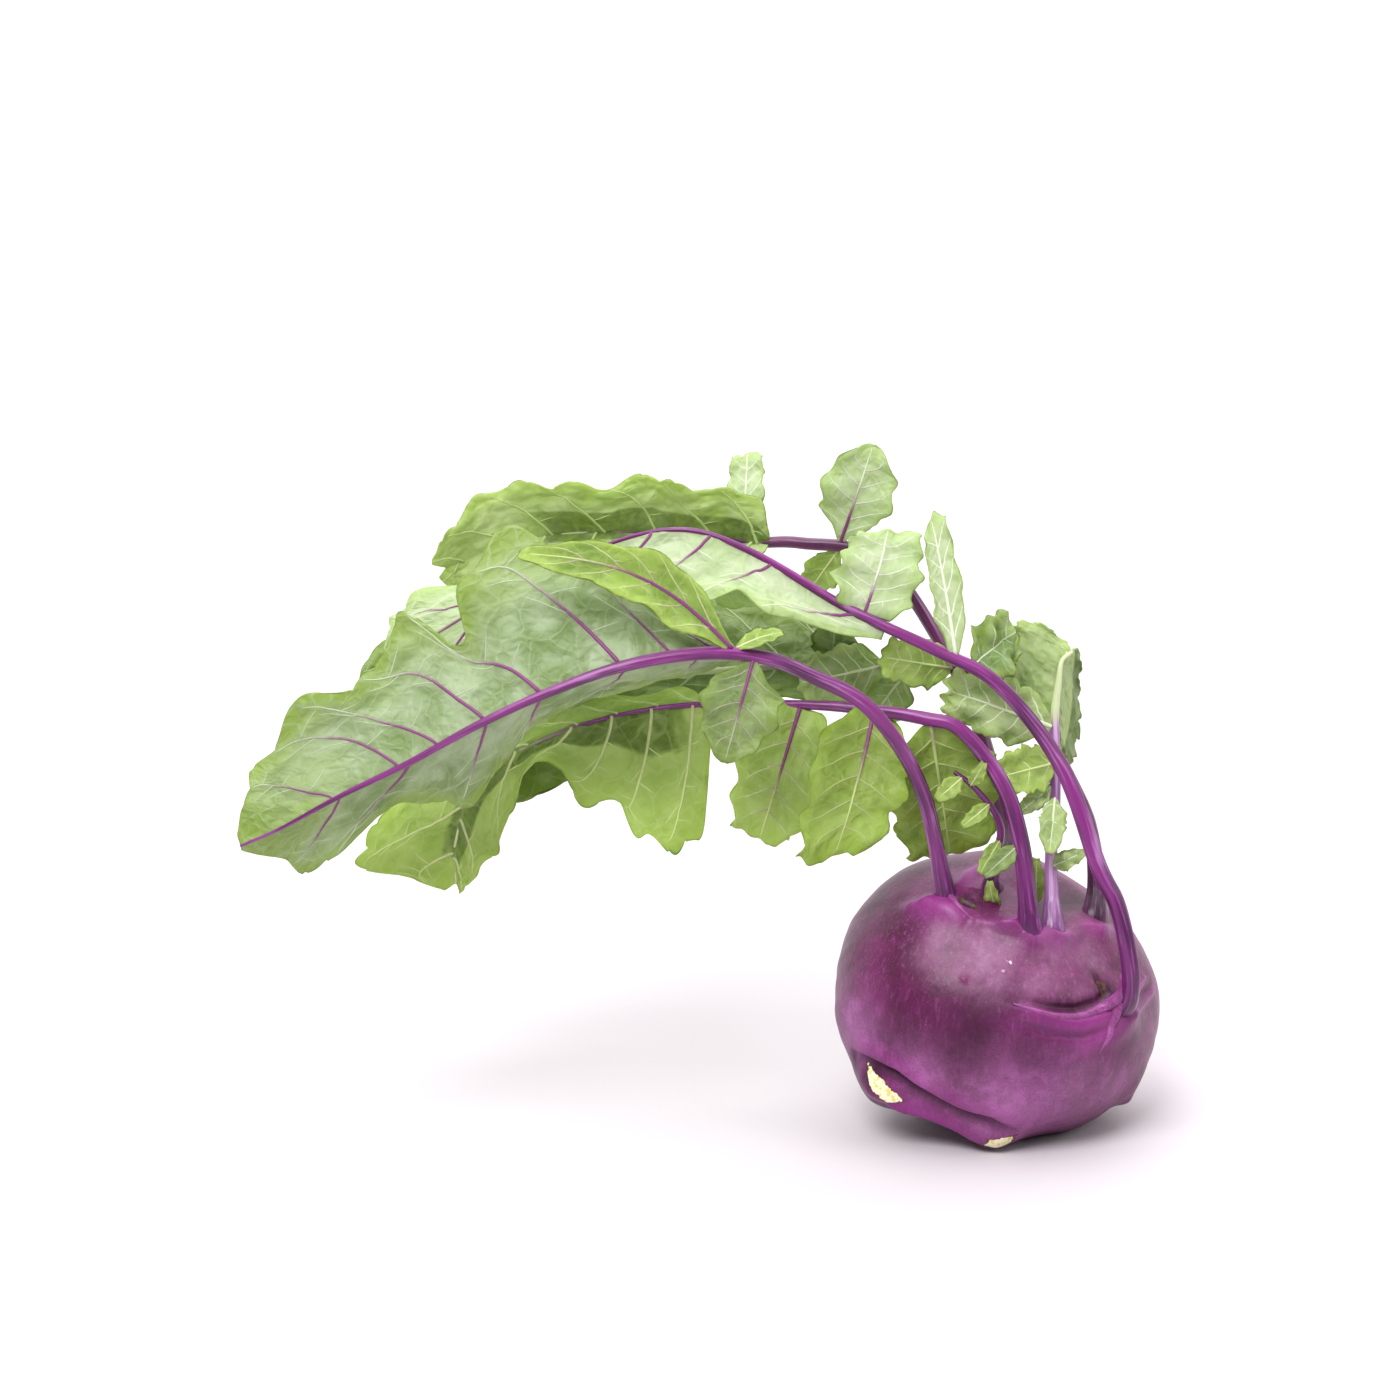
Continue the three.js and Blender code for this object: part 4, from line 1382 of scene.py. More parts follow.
@dataclass
class Blade:
    """A leaf blade on both sides of its rib, with cut and waved margins."""

    back: Point
    edges: list[Edge]
    teeth: float = 0.12
    ripple: float = 2.0
    seed: int = 1
    veins: tuple[Vein, ...] = ()
    purple: float = 0.8
    shows: Face = Face.UNDER
    shades: tuple[Shade, ...] = ()
    rows: int = 190
    columns: int = 84
    crinkle: float = 0.6
    NICKS = 21                 # small notches along each margin
    NICK_DEPTH = 0.055         # as a share of the half-width
    RIPPLES = 3.5              # waves along each margin
    LOWER_SHIFT = 17.0         # gives the lower side an unevenness of its own

    def surface(self, route: list, along: Array, width: Array) -> Array:
        """Finds the middle of the blade.

        Args:
            route: The stalk's route.
            along: Share of the blade's length.
            width: Share of its width, 0.5 at the rib.

        Returns:
            The points.
        """
        rib = SmoothLine(route)
        last = len(self.edges) - 1
        place = np.interp(along * last, range(last + 1), [edge.place for edge in self.edges])
        radius = radius_at(route, place)
        behind = unit(np.array(self.back, float))
        offset = (radius + CAD_BLADE_THICK / 2 + RIB_CLEARANCE)[..., None] * behind
        middle = rib.at(place) + (0.45 * radius)[..., None] * behind
        upper = SmoothLine([edge.upper for edge in self.edges]).at(along * last) + offset
        lower = SmoothLine([edge.lower for edge in self.edges]).at(along * last) + offset
        high_side = width >= 0.5
        edge = np.where(high_side[..., None], upper, lower)
        reach = np.abs(2 * width - 1)
        grown = np.clip(np.minimum(8 * along, 8 * (1 - along)), 0, 1)
        uneven = Unevenness(self.seed)
        shift = np.where(high_side, 0.0, self.LOWER_SHIFT)
        cuts = 0.5 + 0.5 * np.cos(2 * math.pi * along * BIG_TEETH)
        nick = uneven.nicks(along * self.NICKS + shift)
        notch = 1 - self.teeth * grown * cuts * reach ** 3 - self.NICK_DEPTH * grown * nick * reach ** 6
        turn = np.where(high_side, 2.0, 0.0)
        wave = self.ripple * grown * reach ** 2 * np.sin(2 * math.pi * self.RIPPLES * along + turn)
        curl = 0.9 * grown * reach ** 4 * uneven.at(along * 17 + shift, reach * 2.0)
        crinkle = uneven.at(along * 14, width * 9 + shift) + 0.4 * uneven.at(along * 37, width * 23 + shift)
        crinkle = self.crinkle * grown * crinkle * np.minimum(1, 4 * reach)
        belly = self.ripple * grown * np.sin(math.pi * reach) * 0.6
        return (middle + (edge - middle) * (reach * notch)[..., None]
                + behind * (wave + belly + curl + crinkle)[..., None])

    def build(self, name: str, route: list, finishes: list) -> bpy.types.Object:
        """Makes the blade.

        Args:
            name: Name of its piece.
            route: The stalk's route.
            finishes: Materials of the leaf and of its veins.

        Returns:
            The piece.
        """
        veins = self.veins or pinnate(pairs=7, first=0.05, last=0.86, forwards=0.13, thick=0.5,
                                      flush=self.purple)
        work = SheetWork(
            rows=self.rows, columns=self.columns, veins=veins, twigs=5, midvein=0.0, purple=0.0,
            under=self.shows.value, seed=self.seed, shades=self.shades)
        draft = Draft()
        sheet(draft, lambda along, width: self.surface(route, along, width), work)
        return draft.piece(name, finishes)


def pinnate(pairs: int, first: float, last: float, forwards: float, thick: float,
            flush: float) -> tuple[Vein, ...]:
    """Lays out side veins in pairs.

    Args:
        pairs: How many pairs there are.
        first: Where the first pair leaves the rib, as a share of the leaf's length.
        last: Where the last pair leaves it.
        forwards: How far towards the tip a vein ends past its start.
        thick: Radius of a vein at its start, in millimetres.
        flush: How purple a vein is at its start.

    Returns:
        The veins.
    """
    made = []
    for k in range(pairs):
        start = first + (last - first) * k / max(pairs - 1, 1)
        size = thick * (1 - 0.35 * k / pairs)
        made.append(Vein(start, min(start + forwards, 0.97), 1, thick=size, flush=flush))
        made.append(Vein(start + 0.02, min(start + forwards, 0.97), -1, thick=size, flush=flush))
    return tuple(made)


@dataclass
class Leaflet:
    """A small leaf on the side of a stalk."""

    tip: Point
    wide: float
    face: Point
    on: float = 0.0
    base: Point | None = None
    arch: float = 3.0
    cup: float = 2.0
    peak: float = 0.8
    bend: float = 0.0
    root: float = 0.0
    blunt: float = 0.0
    slant: float = 0.0
    purple: float = 0.45
    shows: Face = Face.UNDER
    jagged: float = 0.05
    crumple: float = 0.022
    tint: Tint | None = None
    LOBES = 3.6                # shallow lobes along each margin
    NICKS = 7.5                # small notches along each margin
    WAVES = 2.5                # waves along each margin
    OTHER_SHIFT = 23.0         # gives the second side an unevenness of its own
    LONG = 20                  # a longer leaflet has more veins, and twigs on them
    FULL_LENGTH = 35           # a shorter leaflet has thinner veins

    def surface(self, start: Array, seed: int, along: Array, width: Array) -> Array:
        """Finds the middle of the leaflet.

        Args:
            start: Where the leaflet leaves its stalk.
            seed: Number that its unevenness is drawn from.
            along: Share of its length.
            width: Share of its width, 0.5 in the middle.

        Returns:
            The points.
        """
        reach = np.array(self.tip, float) - start
        facing = np.array(self.face, float)
        facing = unit(facing - reach * (facing @ reach) / (reach @ reach))
        side = unit(np.cross(reach, facing))
        across = 2 * width - 1
        neck = self.root + (1 - self.root) * np.minimum(1, along / LEAFLET_NECK) ** 0.7
        oval = np.abs(np.sin(math.pi * np.clip(along, 0, 1) ** self.peak)) ** 0.6
        belly = neck * (1 - (1 - self.blunt) * along ** 2 if self.blunt else oval)
        turn = np.where(across < 0, 0.0, 1.9)
        uneven = Unevenness(seed)
        shift = np.where(across < 0, 0.0, self.OTHER_SHIFT)
        toothed = 1 + 0.09 * np.abs(across) * np.cos(2 * math.pi * self.LOBES * along + turn)
        nick = (self.jagged + 0.6 / self.wide) * uneven.nicks(along * self.NICKS + shift)
        toothed = toothed - nick * np.abs(across) ** 4
        half = LEAFLET_STALK + (self.wide / 2 - LEAFLET_STALK) * belly * toothed
        rise = self.arch * np.sin(math.pi * along) + self.cup * belly * across ** 2
        rise = rise + 0.06 * self.wide * belly * np.abs(across) * np.sin(2 * math.pi * self.WAVES * along)
        rise = rise + self.crumple * self.wide * belly * uneven.at(along * 6 + 3, across * 2.5)
        rounded = TIP_ROUNDS * self.blunt * (along * across) ** 2
        scallop = SCALLOP * self.blunt * along ** 5 * (1 + uneven.at(across * 3.4 + seed, along * 0))
        reached = along * (1 + self.slant * across - rounded - scallop)
        sideways = across * half + self.bend * np.sin(math.pi * along)
        flat = start + reached[..., None] * reach + sideways[..., None] * side
        return flat + rise[..., None] * facing

    def build(self, name: str, start: Array, seed: int, finishes: list) -> bpy.types.Object:
        """Makes the leaflet.

        Args:
            name: Name of its piece.
            start: Where it leaves its stalk.
            seed: Number that its unevenness is drawn from.
            finishes: Materials of the leaf and of its veins.

        Returns:
            The piece.
        """
        length = float(np.linalg.norm(np.array(self.tip) - start))
        rows = int(np.clip(length / 0.55, 24, 96))
        columns = int(np.clip(self.wide / 0.6, 10, 48) // 2 * 2)
        size = min(1.0, length / self.FULL_LENGTH)
        pairs, twigs = (5, 3) if length > self.LONG else (3, 0)
        work = SheetWork(
            rows=rows, columns=columns, twigs=twigs, midvein=0.55 * size, purple=self.purple,
            veins=pinnate(pairs=pairs, first=0.10, last=0.74, forwards=0.2, thick=0.26 * size,
                          flush=0.45 * self.purple),
            under=self.shows.value, seed=seed)
        draft = Draft()
        sheet(draft, lambda along, width: self.surface(start, seed, along, width), work)
        return draft.piece(name, finishes)


@dataclass
class Leaf:
    """One whole leaf: stalk, blade and leaflets."""

    name: str
    look: Look
    tint: Tint
    stalk: Stalk
    leaflets: list[Leaflet]
    blade: Blade | None = None

    def build(self, bulb: Bulb, finishes: dict[Tint, list]) -> None:
        """Makes the leaf's pieces and lets them stand for their nodes.

        Args:
            bulb: The bulb that it grows from.
            finishes: Materials by tint: a stalk's, or a leaf's and its veins'.
        """
        node = f"{self.name}_stalk"
        made = self.stalk.build(f"{node}_skin", bulb, finishes[self.stalk.tint])
        settle(made, node, Look.STALK)
        if self.blade:
            node = f"{self.name}_blade"
            made = self.blade.build(f"{node}_sheet", self.stalk.route, finishes[self.tint])
            settle(made, node, self.look)
        for index, leaflet in enumerate(self.leaflets, 1):
            node = f"{self.name}_leaflet_{index}"
            start = self.stalk.side_point(leaflet.on, leaflet.tip)
            seed = 31 * index + len(self.name) + int(leaflet.wide)
            made = leaflet.build(f"{node}_sheet", start, seed, finishes[leaflet.tint or self.tint])
            settle(made, node, self.look)


def settle(piece: bpy.types.Object, node: str, look: Look) -> None:
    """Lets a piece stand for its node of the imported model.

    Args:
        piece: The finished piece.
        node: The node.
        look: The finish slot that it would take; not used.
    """
    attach(piece, "root")
    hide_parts(node)
    LOG.info("%s: %d faces", piece.name, len(piece.data.polygons))


# ---------------------------------------------------------------- the leaves
LEAVES = [
    Leaf(
        name="leaf_1",
        look=Look.GREEN,
        tint=Tint.SAGE,
        stalk=Stalk(route=[
            (-10, -8, 50, 3.8), (-14, -17, 63, 3), (-18, -18, 84, 2.2), (-22, -21, 100, 2.1),
            (-29, -27, 115, 2.1), (-39, -32, 128, 2.1), (-52, -36, 136, 2), (-65, -39, 142, 1.9),
            (-82, -42, 144, 1.8), (-103, -44, 141, 1.6), (-123, -45, 134, 1.3), (-142, -45, 125, 1.1),
            (-161, -44, 114, 0.9), (-180, -42, 104, 0.7), (-195, -40, 95, 0.5), (-207, -38, 89, 0.4),
        ]),
        blade=Blade(back=(0, 1, 0.1), teeth=0.12, ripple=2, seed=3, purple=0.95, veins=(
            Vein(0.05, 0.12, 1, reach=0.6, thick=0.3),
            Vein(0.13, 0.22, 1, reach=0.9, thick=0.4),
            Vein(0.213, 0.345, 1, reach=0.95, thick=0.62),
            Vein(0.364, 0.52, 1, reach=0.95, thick=0.55),
            Vein(0.5, 0.64, 1, reach=0.95, thick=0.52),
            Vein(0.6, 0.75, 1, reach=0.9, thick=0.42),
            Vein(0.69, 0.81, 1, reach=0.93, thick=0.42),
            Vein(0.82, 0.9, 1, reach=0.9, thick=0.3),
            Vein(0.08, 0.09, -1, reach=0.9, thick=0.3),
            Vein(0.2, 0.22, -1, reach=0.9, thick=0.4),
            Vein(0.37, 0.375, -1, reach=0.97, thick=0.5),
            Vein(0.5, 0.55, -1, reach=0.85, thick=0.42),
            Vein(0.67, 0.79, -1, reach=0.93, thick=0.48),
            Vein(0.81, 0.88, -1, reach=0.9, thick=0.32),
        ), edges=[
            Edge(7.4, (-75, -39, 146), (-74, -39, 140)),
            Edge(8.1, (-92, -36, 156), (-88, -37, 134)),
            Edge(8.8, (-109, -30, 167), (-103, -36, 131)),
            Edge(9.5, (-132, -27, 175), (-120, -34, 124)),
            Edge(10.1, (-148, -29, 165), (-131, -33, 116)),
            Edge(10.6, (-148, -34, 147), (-137, -32, 107)),
            Edge(11.2, (-166, -30, 152), (-147, -31, 96)),
            Edge(11.8, (-173, -34, 136), (-158, -33, 98)),
            Edge(12.35, (-189, -32, 131), (-171, -34, 94)),
            Edge(13.05, (-202, -33, 113), (-187, -30, 78)),
            Edge(13.85, (-206, -35, 104), (-196, -33, 82)),
            Edge(15, (-208, -37, 91), (-207, -37, 87)),
        ]),
        leaflets=[
            Leaflet(
                tip=(-131, -48, 173), wide=16, face=(0.2, -0.9, 0.4),
                on=7.55, peak=0.65, bend=7, purple=0.9, shows=Face.UPPER, tint=Tint.LIME,
            ),
            Leaflet(
                tip=(-76, -47, 115), wide=22, face=(0, -1, 0.1),
                on=7.2, arch=2, purple=0.8, tint=Tint.SHADED,
            ),
            Leaflet(
                tip=(-60, -37, 148), wide=7, face=(0, -0.5, 0.9),
                on=7.5, arch=1, cup=1, purple=0.2, shows=Face.UPPER, tint=Tint.LIME,
            ),
        ],
    ),
    Leaf(
        name="leaf_2",
        look=Look.YELLOW,
        tint=Tint.LIME,
        stalk=Stalk(fades=(9.2, 11.5), route=[
            (9, -12, 46, 4.4), (8, -25, 58, 3.6), (7, -26, 70, 2.6), (5, -21, 86, 2.4),
            (0, -18, 101, 2.3), (-11, -15, 115, 2), (-21, -13, 118, 1.9), (-44, -8, 120, 1.5),
            (-72, -5, 120, 1), (-96, -3, 118, 0.7), (-121, -2, 111, 0.5), (-143, -2, 98, 0.4),
            (-150, -4, 80, 0.4), (-150, -6, 69, 0.4),
        ]),
        blade=Blade(back=(0, 0.5, -0.85), teeth=0.12, ripple=2, seed=5, purple=0.2, edges=[
            Edge(8.3, (-79, -1, 120), (-79, -6, 117)),
            Edge(8.55, (-84, 8, 121), (-82, -17, 87)),
            Edge(8.85, (-91, 12, 121), (-89, -20, 82)),
            Edge(9.15, (-100, 14, 120), (-98, -20, 83)),
            Edge(9.4, (-109, 14, 119), (-105, -15, 94)),
            Edge(9.65, (-116, 14, 117), (-116, -13, 95)),
            Edge(9.95, (-124, 14, 115), (-125, -10, 104)),
            Edge(10.3, (-132, 14, 111), (-131, -9, 101)),
            Edge(10.9, (-152, 12, 99), (-134, -9, 90)),
            Edge(11.65, (-172, 5, 85), (-138, -7, 77)),
            Edge(12.05, (-180, 1, 77), (-143, -6, 72)),
            Edge(12.5, (-167, -2, 71), (-147, -6, 69)),
            Edge(13, (-153, -6, 68), (-149, -6, 67)),
        ], shades=(Shade(-1, -0.1, 0.27, 0.15, 0.85),)),
        leaflets=[
            Leaflet(
                tip=(-67, -19, 83), wide=27, face=(0, -1, 0.2),
                on=7.4, root=0.4, blunt=0.6, purple=0.8,
            ),
            Leaflet(
                tip=(-47, -31, 81), wide=30, face=(0.2, -1, 0.1),
                on=6.65, root=0.3, blunt=0.65, slant=0.12, purple=0.6, tint=Tint.OLIVE,
            ),
            Leaflet(
                tip=(-13, -4, 74), wide=32, face=(0, -1, 0.3),
                on=5.9, arch=0.5, cup=1, blunt=0.7, purple=0.25, tint=Tint.OLIVE,
            ),
            Leaflet(
                tip=(-5, -26, 77), wide=6, face=(0, -1, 0.3),
                on=2.9, arch=1, cup=1, purple=0, tint=Tint.SHADED,
            ),
        ],
    ),
    Leaf(
        name="leaf_3",
        look=Look.GREEN,
        tint=Tint.PALE,
        stalk=Stalk(fades=(12.5, 15), flare=-0.9, route=[
            (24, -13, 34, 4.8), (32, -28, 39, 3.7), (35, -35, 48, 2.6), (34, -35, 59, 2.4),
            (31, -32, 71, 2.4), (26, -29, 81, 2.4), (16, -22, 107, 2.2), (-1, -15, 128, 1.9),
            (-18, -12, 137, 1.7), (-42, -9, 148, 1.4), (-69, -4, 163, 1), (-88, 0, 168, 0.7),
            (-110, 4, 162, 0.5), (-138, 8, 147, 0.5), (-164, 12, 130, 0.4), (-169, 13, 127, 0.4),
        ]),
        blade=Blade(back=(0, 0.25, -0.97), teeth=0.12, ripple=2, seed=7, purple=0.9, edges=[
            Edge(8.6, (-31, -6, 143), (-33, -11, 142)),
            Edge(9, (-42, 4, 143), (-45, -16, 146)),
            Edge(9.6, (-60, 13, 144), (-65, -20, 151)),
            Edge(9.95, (-70, 16, 144), (-75, -18, 154)),
            Edge(10.5, (-81, 20, 145), (-85, -16, 156)),
            Edge(11, (-91, 23, 145), (-96, -12, 155)),
            Edge(11.5, (-102, 25, 143), (-106, -9, 152)),
            Edge(12, (-116, 26, 142), (-117, -6, 145)),
            Edge(12.5, (-131, 26, 147), (-129, -4, 138)),
            Edge(13.2, (-159, 23, 147), (-150, 1, 122)),
            Edge(13.6, (-168, 20, 143), (-161, 5, 118)),
            Edge(14, (-169, 16, 137), (-168, 9, 120)),
            Edge(15, (-170, 14, 129), (-169, 13, 124)),
        ]),
        leaflets=[
            Leaflet(
                tip=(-20, -2, 174), wide=10, face=(0.3, -1, 0),
                on=7.75, arch=1, blunt=0.72, slant=0.08, purple=0.15,
            ),
            Leaflet(
                tip=(-31, 6, 167), wide=25, face=(0.2, -1, 0.2),
                on=8.85, arch=2, root=0.6, blunt=0.7, slant=0.12, purple=0.55,
            ),
            Leaflet(
                crumple=0.1, jagged=0.22, tip=(4, -4, 141), wide=18, face=(0.2, -1, 0.2),
                on=7.45, arch=1, cup=1, blunt=0.7, slant=-0.13, purple=0, shows=Face.UPPER, tint=Tint.SAGE,
            ),
        ],
    ),
    Leaf(
        name="leaf_4",
        look=Look.GREEN,
        tint=Tint.CROWN,
        stalk=Stalk(tint=Tint.LILAC, fades=(5.2, 6.4), route=[
            (13, -10, 46, 2.8), (14, -22, 59, 2.5), (14, -18, 68, 1.8), (14, -12, 80, 1.7),
            (15, -8, 93, 1.6), (15, -4, 107, 1.5), (15, -1, 116, 1.3), (16, 1, 124, 0.9),
            (17, 3, 130, 0.6), (20, 6, 132, 0.5),
        ]),
        blade=Blade(back=(0, 1, 0), teeth=0.1, ripple=1, seed=9, purple=0, shows=Face.UPPER, edges=[
            Edge(5, (11, -4, 110), (17, -3, 102)),
            Edge(5.8, (7, -4, 117), (20, -1, 101)),
            Edge(6.6, (1, -3, 124), (22, 3, 104)),
            Edge(7.3, (-1, -1, 133), (23, 7, 112)),
            Edge(7.8, (2, 1, 141), (23, 10, 121)),
            Edge(8.4, (9, 3, 141), (23, 10, 129)),
            Edge(9, (19, 8, 134), (22, 9, 132)),
        ], shades=(Shade(-1, 0.62, 1.2, 0.1, 0.95),)),
        leaflets=[
            Leaflet(
                crumple=0.09, jagged=0.2, tip=(13, -22, 82), wide=8, face=(0, -1, 0.3),
                on=4.05, arch=1, cup=1, purple=0,
            ),
            Leaflet(
                crumple=0.1, jagged=0.18, tip=(5, -9, 90), wide=6, face=(0, -1, 0.3),
                on=4.3, arch=1, cup=1, purple=0,
            ),
            Leaflet(
                crumple=0.1, jagged=0.2, tip=(-2, -13, 101), wide=15, face=(0, -1, 0.3),
                on=4.7, arch=1, cup=1, blunt=0.6, purple=0.05, tint=Tint.LIME,
            ),
            Leaflet(
                crumple=0.1, jagged=0.2, tip=(23, -19, 82), wide=6, face=(0, -1, 0.3),
                on=2.7, arch=1, cup=1, purple=0,
            ),
            Leaflet(
                crumple=0.13, jagged=0.22, tip=(-17, -6, 125), wide=18, face=(0.1, -1, 0.3),
                on=5.6, arch=1, cup=0, blunt=0.7, purple=0, tint=Tint.CROWN,
            ),
        ],
    ),
    Leaf(
        name="leaf_5",
        look=Look.GREEN,
        tint=Tint.SHADED,
        stalk=Stalk(tint=Tint.DEEP, fades=(7.5, 9), route=[
            (24, 2, 46, 4.4), (26, -8, 58, 3.4), (27, -4, 67, 2.4), (26, 1, 79, 2.2), (22, 4, 91, 2.1),
            (9, 8, 113, 1.9), (-8, 9, 125, 1.8), (-27, 11, 127, 1.5), (-55, 14, 126, 1.2),
            (-88, 21, 122, 0.9), (-121, 26, 121, 0.7), (-152, 30, 121, 0.5), (-166, 31, 118, 0.5),
            (-177, 31, 115, 0.4),
        ]),
        blade=Blade(back=(0, 0.6, -0.8), teeth=0.12, ripple=2, seed=11, purple=0.1, edges=[
            Edge(7.3, (-36, 16, 131), (-35, 9, 122)),
            Edge(7.7, (-47, 22, 139), (-45, 8, 119)),
            Edge(8.1, (-59, 26, 145), (-55, 8, 118)),
            Edge(8.5, (-73, 30, 146), (-69, 10, 117)),
            Edge(9, (-91, 34, 144), (-85, 12, 116)),
            Edge(9.35, (-103, 35, 139), (-96, 14, 115)),
            Edge(9.75, (-119, 37, 139), (-110, 12, 94)),
            Edge(10.4, (-144, 38, 137), (-134, 12, 89)),
            Edge(10.8, (-158, 38, 136), (-146, 16, 95)),
            Edge(11.4, (-168, 36, 133), (-158, 20, 100)),
            Edge(12.1, (-176, 33, 125), (-168, 26, 107)),
            Edge(13, (-178, 31, 117), (-176, 31, 113)),
        ]),
        leaflets=[
            Leaflet(
                tip=(-34, -6, 134), wide=14, face=(0, -1, 0.2),
                on=6.3, arch=1, cup=1, blunt=0.8, purple=0.35, tint=Tint.LIME,
            ),
            Leaflet(
                crumple=0.05, tip=(-45, 9, 143), wide=13, face=(0, -1, 0.2),
                on=7.7, arch=1, cup=1, purple=0.1,
            ),
            Leaflet(
                crumple=0.07, jagged=0.12, tip=(-37, 22, 106), wide=14, face=(0, -1, 0.1),
                on=6.9, arch=1, cup=1, purple=0.2, tint=Tint.CROWN,
            ),
            Leaflet(
                crumple=0.07, jagged=0.1, tip=(-57, 2, 124), wide=18, face=(0, -1, 0.1),
                on=7.2, arch=0.5, cup=1, blunt=0.6, purple=0.3, tint=Tint.CROWN,
            ),
        ],
    ),
    Leaf(
        name="leaf_6",
        look=Look.BACK,
        tint=Tint.FAR,
        stalk=Stalk(tint=Tint.DEEP, fades=(10, 12), route=[
            (4, 8, 46, 4.4), (4, 16, 60, 3.6), (4, 22, 66, 2.8), (3, 27, 75, 2.4), (0, 33, 88, 2.2),
            (-5, 39, 104, 2.1), (-14, 44, 123, 1.9), (-32, 51, 147, 1.8), (-54, 54, 151, 1.7),
            (-68, 55, 151, 1.5), (-82, 56, 153, 1.1), (-111, 56, 154, 0.8), (-133, 54, 152, 0.6),
            (-154, 50, 145, 0.4),
        ]),
        blade=Blade(back=(0, -1, 0.1), teeth=0.12, ripple=2, seed=13, purple=0, shows=Face.UPPER, edges=[
            Edge(8.6, (-63, 56, 154), (-64, 54, 149)),
            Edge(9.1, (-66, 55, 165), (-71, 54, 143)),
            Edge(9.85, (-77, 53, 168), (-82, 54, 138)),
            Edge(10.3, (-88, 51, 170), (-92, 54, 135)),
            Edge(10.6, (-96, 51, 173), (-102, 54, 132)),
            Edge(10.93, (-108, 52, 169), (-113, 54, 132)),
            Edge(11.35, (-121, 53, 170), (-122, 54, 132)),
            Edge(11.8, (-133, 52, 170), (-132, 54, 131)),
            Edge(12.2, (-144, 51, 167), (-140, 54, 131)),
            Edge(12.65, (-152, 50, 159), (-148, 54, 132)),
            Edge(12.9, (-157, 50, 150), (-153, 54, 138)),
            Edge(13, (-158, 50, 146), (-156, 52, 142)),
        ], shades=(Shade(1, -0.1, 0.42, -0.1, 0.6),)),
        leaflets=[
            Leaflet(
                tip=(-34, 52, 180), wide=21, face=(0, -1, 0.1),
                on=7.5, arch=2, peak=1.15, purple=0.7, tint=Tint.PALE,
            ),
            Leaflet(
                tip=(-69, 66, 176), wide=11, face=(0, -1, 0.1),
                on=9.2, arch=2, cup=1, blunt=0.8, slant=0.05, purple=0, tint=Tint.PALE,
            ),
            Leaflet(
                tip=(-52, 62, 135), wide=11, face=(0, -1, 0.1),
                on=7.5, arch=1, cup=1, purple=0, tint=Tint.LIME,
            ),
        ],
    ),
    Leaf(
        name="leaf_7",
        look=Look.YELLOW,
        tint=Tint.LIME,
        stalk=Stalk(route=[
            (3, -3, 56, 2.2), (-2, -11, 69, 1.8), (-1, -12, 79, 1.2), (0, -14, 87, 1),
            (-3, -16, 94, 0.9), (-8, -17, 100, 0.8), (-13, -17, 104, 0.6),
        ]),
        leaflets=[
            Leaflet(tip=(-6, -20, 76), wide=5, face=(0, -1, 0.2), on=2.5, arch=0.6, cup=0.6, purple=0),
            Leaflet(tip=(-11, -22, 90), wide=5, face=(0, -1, 0.2), on=4.1, arch=0.6, cup=0.6, purple=0),
            Leaflet(tip=(-5, -21, 108), wide=5, face=(0, -1, 0.2), on=5.1, arch=0.6, cup=0.6, purple=0),
            Leaflet(tip=(-18, -20, 97), wide=6, face=(0, -1, 0.2), on=5.6, arch=0.6, cup=0.6, purple=0),
        ],
    ),
]

HEART_LEAVES = [
    Leaflet(base=(-1, -16, 65), tip=(-3, -20, 74), wide=5, face=(-0.3, -1, 0.3), arch=1, cup=1),
    Leaflet(base=(10, -10, 64), tip=(10, -12, 78), wide=5, face=(0, -1, 0.2), arch=1, cup=1),
]

STALK_FINISHES = (
    StalkFinish(Tint.MAGENTA),
    StalkFinish(Tint.DEEP, deep=tone(52, 16, 48), middle=tone(96, 36, 84), bright=tone(128, 62, 116),
                waxed=0.2),
    StalkFinish(Tint.LILAC, deep=tone(122, 70, 126), middle=tone(168, 118, 172), bright=tone(196, 160, 200),
                waxed=0.6),
)

